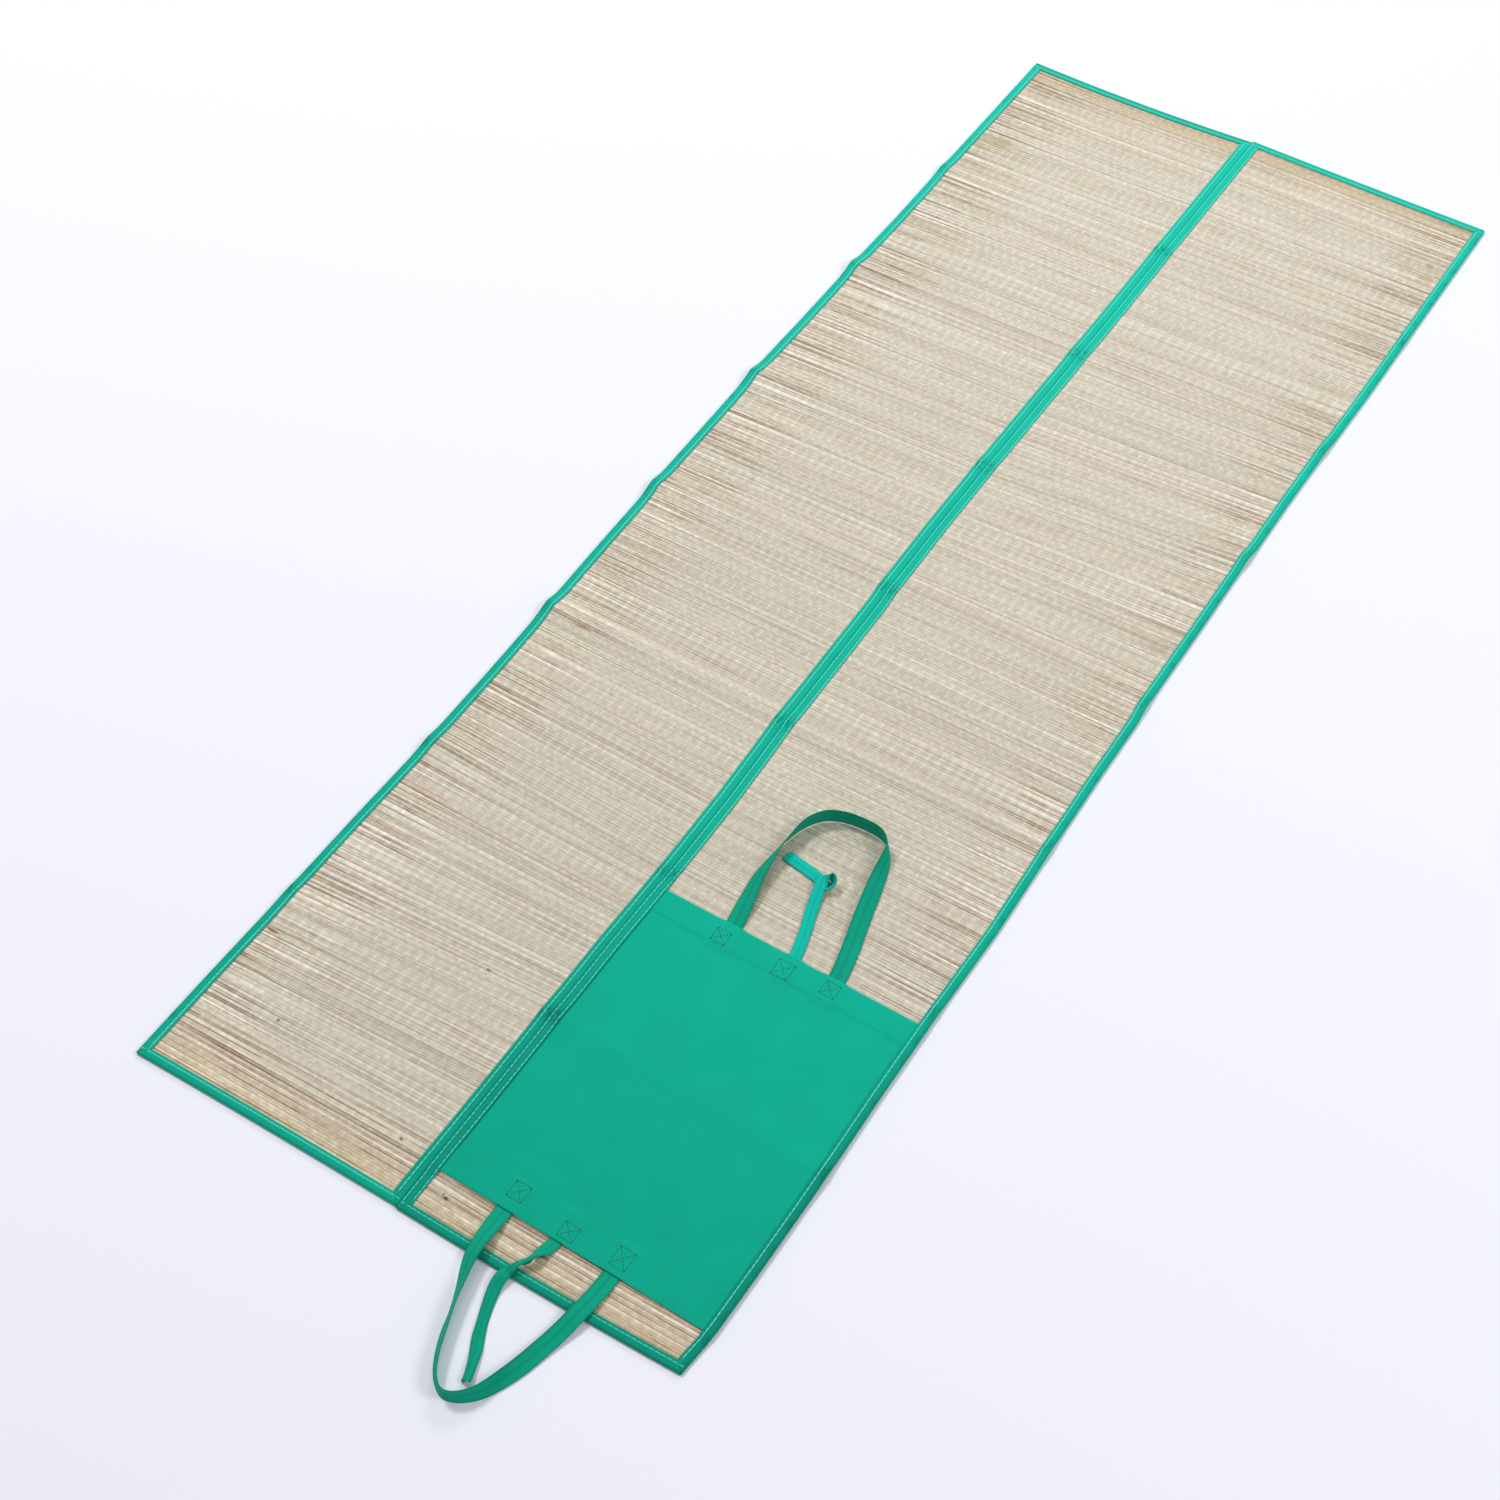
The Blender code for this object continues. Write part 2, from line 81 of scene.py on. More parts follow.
# Where the mat's long edges and the seam run. Columns: position, left edge, seam, right edge
EDGES = (
    (0.0, -0.3033, -0.0021, 0.3000),
    (0.2, -0.3031, -0.0019, 0.3048),
    (0.5, -0.3025, -0.0012, 0.3057),
    (1.0, -0.3008, -0.0009, 0.3063),
    (1.5, -0.3000, -0.0010, 0.3048),
    (2.0, -0.2979, 0.0010, 0.3046),
    (2.5, -0.2986, 0.0004, 0.3061),
    (3.0, -0.3007, -0.0034, 0.3032),
    (3.5, -0.3032, -0.0045, 0.3012),
    (3.9, -0.3042, -0.0053, 0.3009),
    (4.0, -0.3053, -0.0067, 0.2990),
    (4.5, -0.3060, -0.0083, 0.2988),
    (5.0, -0.3071, -0.0078, 0.2978),
    (5.1, -0.3069, -0.0073, 0.2991),
    (5.5, -0.3057, -0.0064, 0.2986),
    (6.0, -0.3052, -0.0050, 0.2996),
    (6.1, -0.3048, -0.0048, 0.3010),
    (6.5, -0.3034, -0.0040, 0.3026),
    (7.0, -0.3035, -0.0039, 0.3029),
    (7.5, -0.3032, -0.0033, 0.3033),
    (8.0, -0.3031, -0.0027, 0.3036),
)
EDGE_ROUNDING = (-0.04, -0.02, 0.0, 0.02, 0.04)

# The folds. Columns: y at the left edge, seam and right edge, then the ridge's height at each of them
FOLDS = (
    (-0.6500, -0.6300, -0.6400, 0.0015, 0.0030, 0.0020),
    (-0.4270, -0.4370, -0.4400, 0.0035, 0.0015, 0.0015),
    (-0.2135, -0.2165, -0.2150, 0.0060, 0.0030, 0.0020),
    (-0.0070, -0.0030, -0.0020, 0.0050, 0.0025, 0.0020),
    (0.1980, 0.2100, 0.2375, 0.0060, 0.0015, 0.0035),
    (0.4160, 0.4230, 0.4300, 0.0060, 0.0030, 0.0020),
    (0.6250, 0.6320, 0.6400, 0.0035, 0.0015, 0.0010),
)
RIDGE_REACH = 0.035
RIDGE_CREST = 0.0040
RIDGE_INNER_SHARE = 0.55
RIDGE_EDGE_REACH = 0.060
RIDGE_EDGE_CREST = 0.0018
RIDGE_FAR_REACH = 0.024
RIDGE_POWER = 2.0
RIDGE_FAR_POWER = 1.5
FOLD_LINE = 0.0012

# The ends of each half. Columns: half, y of the near end at its outer side, middle and seam, then of
# the far end at the same three places
ENDS = {
    "left": (-0.8690, -0.8680, -0.8684, 0.8700, 0.8664, 0.8716),
    "right": (-0.8684, -0.8708, -0.8698, 0.8694, 0.8711, 0.8742),
}

# The panel, on the right half. y of its near and far edges at the seam and at the right edge
PANEL_NEAR = (-0.8185, -0.8245)
PANEL_FAR = (-0.4540, -0.4575)
HEM_DEPTH = 0.028
PANEL_SIDE_RAMP = 0.010

# Where the straps leave the panel's hems. Columns: end of the panel, x of the middle, width
STRAP_FEET = {
    "handle_upper_left": ("far", 0.0888, 0.0178),
    "tie_upper": ("far", 0.1580, 0.0125),
    "handle_upper_right": ("far", 0.2043, 0.0178),
    "handle_lower_left": ("near", 0.0815, 0.0170),
    "tie_lower": ("near", 0.1370, 0.0125),
    "handle_lower_right": ("near", 0.1978, 0.0170),
}
HEM_STEP = 0.0012
HEM_SEWN = 0.0012
HEM_GROOVE = 0.0010
HEM_GROOVE_DEPTH = 0.00018
HEM_DROP = 0.0030
# Painted shade along the hem's sewn groove
HEM_SHADE = 0.35
PANEL_WAVE = 0.0009
PANEL_SLACK_SIDE = 0.020
PANEL_COLUMNS = 110
PANEL_ROWS = 130
PANEL_EDGE_ROWS = (0.0015, 0.003, 0.997, 0.9985)
STRAP_TUCK = 0.026
LIFT_SIDE = 0.001
LIFT_RAMP = 0.007
LIFT_END = 0.003

# Routes of the handles, in millimetres.
# Columns: x and y of the edge that stays low, its height over what the strap
# lies on, the strap's roll in degrees, from 0, flat, to 90, upright, and its arch, which is half of
# the angle that its section bends through, positive where its middle stands proud
HANDLE_UPPER_WIDTH = 0.0178
HANDLE_UPPER = (
    (79.9, -482, 0, 0, 0),
    (79.9, -467, 0, 0, 0),
    (79.9, -454, 0, 0, 2),
    (78.5, -442, 0.3, 8, 8),
    (75.7, -421, 0.4, 22, 10),
    (73, -395, 0.4, 38, 10),
    (74.8, -364, 0.4, 58, 8),
    (80, -335, 0.4, 76, 4),
    (86.2, -317, 0.4, 85, 0),
    (97.5, -301.5, 0.4, 89, 0),
    (115, -293, 0.4, 91, 0),
    (137, -290, 0.4, 91, 0),
    (156, -291.5, 0.4, 90, 0),
    (170.5, -300.5, 0.4, 80, 2),
    (180, -317, 0.4, 58, 6),
    (188, -344, 0.4, 32, 10),
    (196.5, -379, 0.4, 16, 12),
    (206.5, -418, 0.3, 6, 12),
    (212, -444, 0.2, 1, 8),
    (213.2, -456, 0, 0, 2),
    (213.2, -468, 0, 0, 0),
    (213.2, -482, 0, 0, 0),
)
HANDLE_LOWER_WIDTH = 0.0170
HANDLE_LOWER = (
    (73, -793, 3.2, 0, 0),
    (73, -808, 3.2, 0, 0),
    (73, -820, 3.2, 0, 2),
    (73.3, -830, 3.6, 4, 4),
    (74.2, -845, 5, 12, 8),
    (76, -862, 6.4, 22, 8),
    (78.5, -876, 6, 32, 6),
    (83.5, -890, 3.4, 46, 4),
    (90.5, -906, 1, 60, 0),
    (97.5, -924, 0.3, 68, -4),
    (104.5, -948, 0.3, 64, -8),
    (114.5, -970, 0.3, 69, -12),
    (126, -985, 0.3, 79, -16),
    (140, -993, 0.3, 85, -18),
    (155, -989, 0.3, 79, -18),
    (169, -977, 0.3, 64, -18),
    (179, -960, 0.3, 48, -16),
    (188, -937, 0.5, 30, -12),
    (195.5, -908, 1.4, 16, -6),
    (199.8, -890, 3.6, 9, 0),
    (202.5, -876, 6, 5, 6),
    (204.5, -862, 6.4, 3, 8),
    (206, -845, 5, 1, 6),
    (206.3, -832, 3.7, 0, 2),
    (206.3, -821, 3.2, 0, 0),
    (206.3, -808, 3.2, 0, 0),
    (206.3, -795, 3.2, 0, 0),
)

# Routes of the ties, in millimetres.
# Columns: x and y of the middle line, the height of the lower edge over what the
# tie lies on, the roll in degrees, from 0, flat, over 90, upright, to 180, turned over, and the arch
TIE_WIDTH = 0.0125
TIE_UPPER = (
    (157.6, -482, 0, 0, 0),
    (157.6, -468, 0, 0, 0),
    (157.6, -454.5, 0, 0, 2),
    (155.3, -443, 0.3, 0, 12),
    (150, -423, 0.4, 0, 16),
    (144, -404.7, 0.7, 0, 16),
    (139.7, -389, 1.7, 0, 14),
    (136.6, -376, 3.6, 0, 10),
    (135, -368, 4.8, 4, 8),
    (135.2, -362.2, 3.4, 44, 4),
    (138.5, -359.6, 1.4, 84, 4),
    (142.8, -360.4, 0.5, 104, 6),
    (145.2, -364, 0.3, 118, 8),
    (144.8, -368.2, 0.3, 138, 6),
    (140.8, -370, 0.3, 162, 4),
    (133.8, -368, 0.3, 172, 0),
    (126.2, -363.8, 0.3, 178, -8),
    (113, -361.4, 0.3, 180, -14),
    (100, -359.2, 0.4, 180, -14),
    (87.8, -357.1, 0.6, 180, -8),
)
TIE_LOWER = (
    (138, -794, 3.2, 0, 0),
    (138, -812, 3.2, 0, 0),
    (138, -822.5, 3.2, 0, 2),
    (137.4, -826.5, 3.4, 0, 8),
    (135.8, -833.5, 4.2, 0, 22),
    (134.2, -840, 5, 12, 42),
    (134.2, -845.2, 5.4, 48, 80),
    (132.6, -851.5, 5, 78, 104),
    (128.4, -857.2, 4.6, 70, 106),
    (124, -862.2, 4.2, 34, 80),
    (120, -868, 4.2, 6, 46),
    (118.4, -874.5, 4.4, -4, 34),
    (118, -883, 2.8, -4, 32),
    (119.8, -893, 1, -2, 44),
    (124, -907, 0.3, 0, 60),
    (128.7, -920, 0.3, 0, 66),
    (134, -932.5, 0.3, 0, 44),
    (139.4, -943, 0.3, 6, 50),
    (144.6, -956, 0.3, 16, 74),
    (148.2, -966, 0.3, 24, 80),
    (149.5, -971.2, 0.3, 26, 78),
)
STRAP_STEPS = 10
STRAP_CELLS = 10
# Painted shade on the straps: along both rims, and along lines pressed into them. Columns of the lines:
# share of the width, reach, darkness
RIM_SHADE = 0.5
PRESSED_LINE_SHADES = ((0.50, 0.06, 0.32), (0.62, 0.05, 0.10), (0.90, 0.08, 0.22))
STRAIGHT = 0.001

# The weave: reeds across the mat, held by warp threads along it
REED_PITCH = 0.0031
REED_SPREAD = 0.44
REED_PROFILE = ((0.0, -1.0), (0.22, 0.0), (0.78, 0.0))
WARP_COLUMNS = 50
CREST_DOWN = 0.00012
CREST_SPREAD = 0.00010
VALLEY_DEPTH = 0.00042
WARP_DIP = 0.00010
REED_WAVE = 0.0005
REED_WAVE_SCALE = (7.0, 22.0)
BACK_ROWS = 48
BACK_COLUMNS = 6

# The tapes' sewn surface
TAPE_SKIN = 0.0008
CRISP_ANGLE = 50
UNEVENNESS = 0.00012
TAPE_ROW = 0.0045
TAPE_PUFF = 0.00035
FOLD_ROUNDING = 0.0008
SEAM_ROUNDING = 0.00034
SEAM_GAP = 0.00006
GROOVE_DEPTH = 0.00042
GROOVE_WIDTH = 0.0010
TAPE_TOP_STEPS = 25

# Painted shade on the cloth: how dark it is towards a tape's fold, at the far ends, towards the near end and
# beside its stitches; a painted highlight where it glows under them; and how it puckers along the outer
# tapes, with painted shade in the puckers
CREASE_SHADE = 0.58
EDGE_SHADE = 0.32
SEAM_SHADE = 0.12
FAR_END_SHADES = {"left": 0.90, "right": 0.48}
EDGE_SHADE_REACH = 0.0075
NEAR_FROM = -0.30
NEAR_REACH = 0.45
NEAR_SHADES = {
    ("left", "outer"): 0.0,
    ("left", "seam"): 0.30,
    ("left", "near"): 0.0,
    ("right", "seam"): 0.46,
    ("right", "outer"): 0.46,
    ("right", "near"): 0.34,
}
LINE_SHADE = 0.36
LINE_OFFSET = 0.0018
LINE_WIDTH = 0.0006
GLOW = 0.30
GLOW_WIDTH = 0.0015
GLOW_TINT = 0.85
PUCKER = 0.00022
PUCKER_SCALE = 75.0
PUCKER_REACH = 0.0045
PUCKER_SHADE = 0.42

# The crumpled cloth where a fold crosses a long tape: a dip, with painted shade in the crumples
CRUMPLE_SHADE = {"seam": 0.85, "outer": 0.45}
CRUMPLE_REACH = 0.0085
CRUMPLE_SCALE = (420.0, 170.0)
CRUMPLE_DIP = 0.00025

# Rows of stitches on the tapes, as distances in from the fold
STITCH_ROWS = {
    ("left", "outer"): (0.0082,),
    ("left", "seam"): (0.0070,),
    ("right", "seam"): (0.0021, 0.0095),
    ("right", "outer"): (0.0074,),
}
END_STITCH_ROW = 0.0069
STITCH_LENGTH = 0.0050
STITCH_PITCH = 0.0060
STITCH_RADIUS = 0.00044
CLOSE_LENGTH = 0.0058
CLOSE_RADIUS = 0.00056
STITCH_PATH_STEPS = 72
BOX_STITCH_LENGTH = 0.0022
BOX_STITCH_PITCH = 0.0030
BOX_STITCH_RADIUS = 0.00038
BOX_STEPS = 8
HEM_STEPS = 60
HEM_STITCH_LENGTH = 0.0024
HEM_STITCH_PITCH = 0.0031
HEM_STITCH_RADIUS = 0.00022

# The crossed boxes that sew the straps to the panel. Columns: x and y of the middle, width, depth
STITCH_BOXES = (
    (0.0858, -0.4728, 0.0156, 0.0150),
    (0.1559, -0.4737, 0.0178, 0.0187),
    (0.2054, -0.4696, 0.0160, 0.0156),
    (0.0827, -0.7996, 0.0160, 0.0180),
    (0.1430, -0.8089, 0.0160, 0.0160),
    (0.1979, -0.8054, 0.0165, 0.0200),
)

# Marks on the straw. Columns: x, y, half width, half depth, colour, strength
BROWN_STAIN = (0.47, 0.35, 0.17, 1.0)
DARK_KNOT = (0.10, 0.06, 0.035, 1.0)
RED_STREAK = (0.30, 0.10, 0.07, 1.0)
MARKS = (
    (-0.2640, 0.7090, 0.0130, 0.0120, BROWN_STAIN, 0.62),
    (-0.2830, 0.6880, 0.0130, 0.0050, BROWN_STAIN, 0.55),
    (-0.2840, 0.7010, 0.0120, 0.0030, BROWN_STAIN, 0.55),
    (-0.2860, 0.6720, 0.0100, 0.0030, RED_STREAK, 0.30),
    (0.2740, 0.7760, 0.0060, 0.0045, BROWN_STAIN, 0.85),
    (0.2790, 0.7480, 0.0100, 0.0130, BROWN_STAIN, 0.40),
    (-0.0800, -0.6210, 0.0030, 0.0020, DARK_KNOT, 0.65),
    (-0.0400, -0.8110, 0.0024, 0.0018, DARK_KNOT, 0.80),
    (0.0305, -0.8390, 0.0026, 0.0020, DARK_KNOT, 0.90),
    (0.0262, -0.8362, 0.0014, 0.0012, DARK_KNOT, 0.80),
    (-0.2140, -0.7710, 0.0024, 0.0018, DARK_KNOT, 0.60),
    (-0.2500, -0.2210, 0.0120, 0.0012, RED_STREAK, 0.70),
    (-0.2820, -0.6940, 0.0100, 0.0016, RED_STREAK, 0.90),
    (-0.2850, -0.5900, 0.0090, 0.0012, RED_STREAK, 0.65),
)
HALF_LENGTH = 0.870
END_TINT_DEPTH = 0.062
END_TINT_FULL = 0.012
END_TINT_RAGGED = 0.045
END_TINT_SHARE = 0.95

# How strongly the straw's tones differ in the middle, and what its edges and near end add.
# Columns: axis, where the change begins, where it is full, what it adds
MIDDLE_CONTRAST = 0.33
CONTRASTS = (
    ("x", -0.18, -0.27, 0.58),
    ("x", 0.20, 0.27, 0.40),
    ("y", -0.35, -0.60, 0.05),
    ("y", -0.72, -0.79, 0.60),
)
REED_TONES = ((6.0, 0.9), (60.0, 0.6))
CROSSING_GRAIN = 0.06
CELL_GRAIN = 0.14
# Painted shade along the folds of the straw
FOLD_SHADE = 0.14

# Colours, linear
STRAW_DARK = (0.40, 0.30, 0.21, 1.0)
STRAW_PINK = (0.60, 0.49, 0.38, 1.0)
STRAW_BEIGE = (0.67, 0.60, 0.48, 1.0)
STRAW_GREEN = (0.65, 0.63, 0.49, 1.0)
STRAW_LIGHT = (0.78, 0.73, 0.60, 1.0)
STRAW_CREAM = (0.95, 0.90, 0.78, 1.0)
# Painted light: the straw's mean colour is lighter at the far end than at the near end
STRAW_MEAN = (0.610, 0.564, 0.453, 1.0)
STRAW_MEAN_FAR = (0.722, 0.664, 0.538, 1.0)
STRAW_END_TINT = (0.90, 0.81, 0.68, 1.0)
# Painted shade in the gaps between the reeds, brown and red, and a pale pink tint for a few gaps
GAP_BROWN = (0.46, 0.38, 0.30, 1.0)
GAP_RED = (0.56, 0.34, 0.26, 1.0)
GAP_PINK = (1.22, 0.98, 0.88, 1.0)
BAND_SHADE = (0.95, 0.94, 0.93, 1.0)
# Painted light: the binding's and the panel's colours are lighter at the far end than at the near end, for
# the light that falls more strongly on the far end
BINDING_NEAR = (0.002, 0.430, 0.285, 1.0)
BINDING_FAR = (0.008, 0.600, 0.430, 1.0)
PANEL_NEAR_GREEN = (0.001, 0.385, 0.250, 1.0)
PANEL_FAR_GREEN = (0.008, 0.710, 0.490, 1.0)
STRAP_GREEN = (0.002, 0.362, 0.225, 1.0)
TIE_TURQUOISE = (0.004, 0.540, 0.430, 1.0)
PALE_THREAD = (0.170, 0.770, 0.690, 1.0)
DARK_THREAD = (0.003, 0.135, 0.090, 1.0)
FLOOR_WHITE = (0.92, 0.92, 0.99, 1.0)
FLOOR_CLOUD = (0.89, 0.89, 0.97, 1.0)

# The camera: where the photograph was taken from
CAMERA_FROM_MAT = (0.89052, -1.66929, 2.09386)
CAMERA_TURN = (38.56959, 0.29446, 32.39859)
CAMERA_LENS = 63.82
CAMERA_SENSOR = 36.0

FLOOR_SIZE = 12.0
FLOOR_DROP = 0.0001
WORLD_COLOUR = (0.94, 0.95, 1.0, 1.0)
WORLD_STRENGTH = 0.43

# Lights. Columns: name, place, side length, power in watts
LIGHTS = (
    ("key_light", (-3.0, 0.7, 4.8), 1.1, 126.0),
    ("far_light", (-1.2, 4.2, 3.2), 1.4, 58.0),
    ("fill_light", (3.4, 0.6, 3.2), 1.4, 58.0),
)
LIGHT_AIM = (0.0, 0.0, 0.0)


def blend(low, high, share):
    return low + (high - low) * share


def smooth_share(value):
    """A share held to 0 to 1, with soft ends."""
    value = min(max(value, 0.0), 1.0)
    return value * value * (3 - 2 * value)


def read_table(table, position, column):
    """A table's column at a position, with straight runs between its rows."""
    if position <= table[0][0]:
        return table[0][column]
    for low, high in zip(table, table[1:]):
        if position <= high[0]:
            return blend(low[column], high[column], (position - low[0]) / (high[0] - low[0]))
    return table[-1][column]


def across(x, at_left, at_seam, at_right):
    """A value that runs straight from the left edge to the seam and on to the right edge."""
    left, seam, right = EDGES[0][1:]
    if x < seam:
        return blend(at_left, at_seam, (x - left) / (seam - left))
    return blend(at_seam, at_right, (x - seam) / (right - seam))


def end_line(half, far, x):
    """y of a half's near or far end, as the arc through its three given points."""
    outer, middle, seam = ENDS[half][3:] if far else ENDS[half][:3]
    width = abs(EDGES[0][3] - EDGES[0][2])
    edge = EDGES[0][1] if half == "left" else EDGES[0][3]
    share = abs(x - edge) / width
    return blend(outer, seam, share) + (2 * middle - outer - seam) * 2 * share * (1 - share)


def row_line(half, position, x):
    """y of the line across the mat at a position counted in panels."""
    lower = min(int(position), PANELS - 1)

    def line(index):
        if index == 0:
            return end_line(half, False, x)
        if index == PANELS:
            return end_line(half, True, x)
        return across(x, *FOLDS[index - 1][:3])

    return blend(line(lower), line(lower + 1), position - lower)


def position_of(half, x, y):
    """The position, counted in panels, of a point of the mat."""
    low, high = 0.0, float(PANELS)
    for _ in range(HALVINGS):
        middle = (low + high) / 2
        if row_line(half, middle, x) < y:
            low = middle
        else:
            high = middle
    return low


def nearest_fold(x, y):
    """How far beyond the nearest fold a point is, and that fold's height there."""
    folds = [(y - across(x, *fold[:3]), across(x, *fold[3:])) for fold in FOLDS]
    return min(folds, key=lambda fold: abs(fold[0]))


def ridge_height(x, y):
    """How far the mat is lifted off the floor by its folds, which fall off faster beyond the crest."""
    beyond, height = nearest_fold(x, y)
    from_side = min(abs(x - EDGES[0][1]), abs(x - EDGES[0][3]))
    at_edge = math.exp(-from_side / RIDGE_EDGE_REACH)
    crest = blend(RIDGE_CREST, RIDGE_EDGE_CREST, at_edge)
    rounded = math.hypot(beyond, crest) - crest
    reach, power = RIDGE_REACH, RIDGE_POWER
    if beyond > 0:
        reach = blend(RIDGE_REACH, RIDGE_FAR_REACH, at_edge)
        power = blend(RIDGE_POWER, RIDGE_FAR_POWER, at_edge)
    share = blend(RIDGE_INNER_SHARE, 1.0, at_edge)
    return height * share * max(0.0, 1 - rounded / reach) ** power


def lay(x, y, z):
    """A point of the mat, lifted by the folds and moved to the part's frame."""
    return Vector((x + MAT_MIDDLE_X, y + MAT_MIDDLE_Y, z + ridge_height(x, y)))


def side_x(half, side, position, inset):
    """x at a distance in from a half's outer or seam side."""
    column = 2 if side == "seam" else (1 if half == "left" else 3)
    inward = 1 if (half == "left") == (side == "outer") else -1
    edge = sum(read_table(EDGES, position + step, column) for step in EDGE_ROUNDING) / len(EDGE_ROUNDING)
    if side == "seam":
        edge += inward * SEAM_GAP / 2
    return edge + inward * inset


def panel_edge(edge, x):
    """y of the panel's near or far edge."""
    left, right = EDGES[0][2:]
    return blend(edge[0], edge[1], (x - left) / (right - left))


def panel_lift(half, x, y):
    """How far the tape rises over the panel that is caught in it."""
    if half == "left":
        return 0.0
    outside = max(panel_edge(PANEL_NEAR, x) - y, y - panel_edge(PANEL_FAR, x), 0.0)
    return (HEM + GAP) * smooth_share(1 - outside / PANEL_SIDE_RAMP)


def strap_lift(x, y):
    """How far the panel rises over the ends of the straps that are sewn under its hems."""
    lift = 0.0
    for end, middle, width in STRAP_FEET.values():
        sideways = abs(x - middle) - width / 2 - LIFT_SIDE
        inward = panel_edge(PANEL_FAR, x) - y if end == "far" else y - panel_edge(PANEL_NEAR, x)
        beyond = inward - STRAP_TUCK - LIFT_END
        lift = max(lift, smooth_share(1 - sideways / LIFT_RAMP) * smooth_share(1 - beyond / LIFT_RAMP))
    return LAYER_STEP * lift


class Graph:
    """A material's nodes. A plain value or another node's output may go into any input."""

    def __init__(self, name):
        self.material = bpy.data.materials.new(name)
        self.material.use_nodes = True
        self.nodes = self.material.node_tree.nodes
        self.links = self.material.node_tree.links
        self.shader = self.nodes["Principled BSDF"]

    def put(self, socket, value):
        if isinstance(value, bpy.types.NodeSocket):
            self.links.new(value, socket)
        elif value is not None:
            socket.default_value = value

    def node(self, kind, settings=None, **inputs):
        made = self.nodes.new(kind)
        for name, value in (settings or {}).items():
            setattr(made, name, value)
        for name, value in inputs.items():
            self.put(made.inputs[name.replace("_", " ")], value)
        return made

    def maths(self, operation, first, second=None, clamp=False):
        made = self.nodes.new("ShaderNodeMath")
        made.operation = operation
        made.use_clamp = clamp
        self.put(made.inputs[0], first)
        self.put(made.inputs[1], second)
        return made.outputs[0]

    def times(self, first, second, clamp=False):
        return self.maths("MULTIPLY", first, second, clamp)

    def plus(self, first, second, clamp=False):
        return self.maths("ADD", first, second, clamp)

    def minus(self, first, second):
        return self.maths("SUBTRACT", first, second)

    def spread(self, value, size):
        """A number from 0 to 1 turned into one on both sides of 0, this far apart."""
        return self.times(self.minus(value, 0.5), size)

    def mix(self, share, first, second, blend_type="MIX"):
        made = self.nodes.new("ShaderNodeMix")
        made.data_type = "RGBA"
        made.blend_type = blend_type
        self.put(made.inputs[0], share)
        self.put(made.inputs[6], first)
        self.put(made.inputs[7], second)
        return made.outputs[2]

    def tint(self, colour, tone):
        return self.mix(1.0, colour, tone, "MULTIPLY")

    def bright(self, colour, value):
        return self.node("ShaderNodeHueSaturation", Value=value, Color=colour).outputs[0]

    def rise(self, value, low, high):
        """0 below low, 1 above high, smooth between. low may be the larger, for a fall."""
        made = self.nodes.new("ShaderNodeMapRange")
        made.interpolation_type = "SMOOTHSTEP"
        turned = low > high
        self.put(made.inputs[0], value)
        made.inputs[1].default_value = min(low, high)
        made.inputs[2].default_value = max(low, high)
        made.inputs[3].default_value = 1.0 if turned else 0.0
        made.inputs[4].default_value = 0.0 if turned else 1.0
        return made.outputs[0]

    def split(self, vector):
        return self.node("ShaderNodeSeparateXYZ", Vector=vector).outputs

    def join(self, x, y, z=0.0):
        return self.node("ShaderNodeCombineXYZ", X=x, Y=y, Z=z).outputs[0]

    def noise(self, vector, scale, detail=2.0):
        made = self.node("ShaderNodeTexNoise", Vector=vector, Scale=scale, Detail=detail)
        return made.outputs[0]

    def streaks(self, x, x_scale, y, y_scale, detail):
        """Noise with a scale of its own along each of two values."""
        return self.noise(self.join(self.times(x, x_scale), self.times(y, y_scale)), 1.0, detail)

    def white(self, x, y=0.0):
        """A number from 0 to 1 that differs for each whole number x and y."""
        made = self.node("ShaderNodeTexWhiteNoise", {"noise_dimensions": "2D"}, Vector=self.join(x, y))
        return made.outputs[0]

    def attribute(self, name):
        return self.node("ShaderNodeAttribute", {"attribute_name": name})

    def place(self):
        return self.node("ShaderNodeTexCoord").outputs["Object"]

    def ramp(self, value, stops):
        made = self.node("ShaderNodeValToRGB", Fac=value)
        made.color_ramp.interpolation = "LINEAR"
        elements = made.color_ramp.elements
        while len(elements) < len(stops):
            elements.new(0.5)
        for element, (position, colour) in zip(elements, stops):
            element.position = position
            element.color = colour
        return made.outputs[0]

    def bump(self, height, distance, strength=1.0):
        made = self.node("ShaderNodeBump", Height=height, Distance=distance, Strength=strength)
        self.put(self.shader.inputs["Normal"], made.outputs[0])

    def finish(self, colour, roughness, specular=0.3, sheen=0.0):
        self.put(self.shader.inputs["Base Color"], colour)
        self.put(self.shader.inputs["Roughness"], roughness)
        self.shader.inputs["Specular IOR Level"].default_value = specular
        self.shader.inputs["Sheen Weight"].default_value = sheen
        return self.material


def reed_tone(g, number, place_x):
    """A reed's tone from 0 to 1: pale and dark in turn for a while, and its own luck for the rest."""
    turn = g.minus(g.maths("FLOORED_MODULO", number, 2.0), 0.5)
    keeps_turn = g.streaks(place_x, 1.5, number, 0.09, 1.0)
    tone = g.times(turn, g.plus(0.10, g.times(g.rise(keeps_turn, 0.30, 0.65), 0.40)))
    luck = g.spread(g.white(number, 3.0), 0.50)
    tone = g.plus(tone, luck)
    for scale, size in REED_TONES:
        along = g.streaks(place_x, scale, number, 3.37, 1.0)
        tone = g.plus(tone, g.spread(along, size))
    return g.plus(tone, 0.5, clamp=True)


def straw_contrast(g, place_x, place_y):
    """How far the reeds differ: more at the left edge, the right edge and the near end."""
    contrast = MIDDLE_CONTRAST
    for axis, begins, full, added in CONTRASTS:
        place = place_x if axis == "x" else place_y
        contrast = g.plus(contrast, g.times(g.rise(place, begins, full), added))
    return contrast


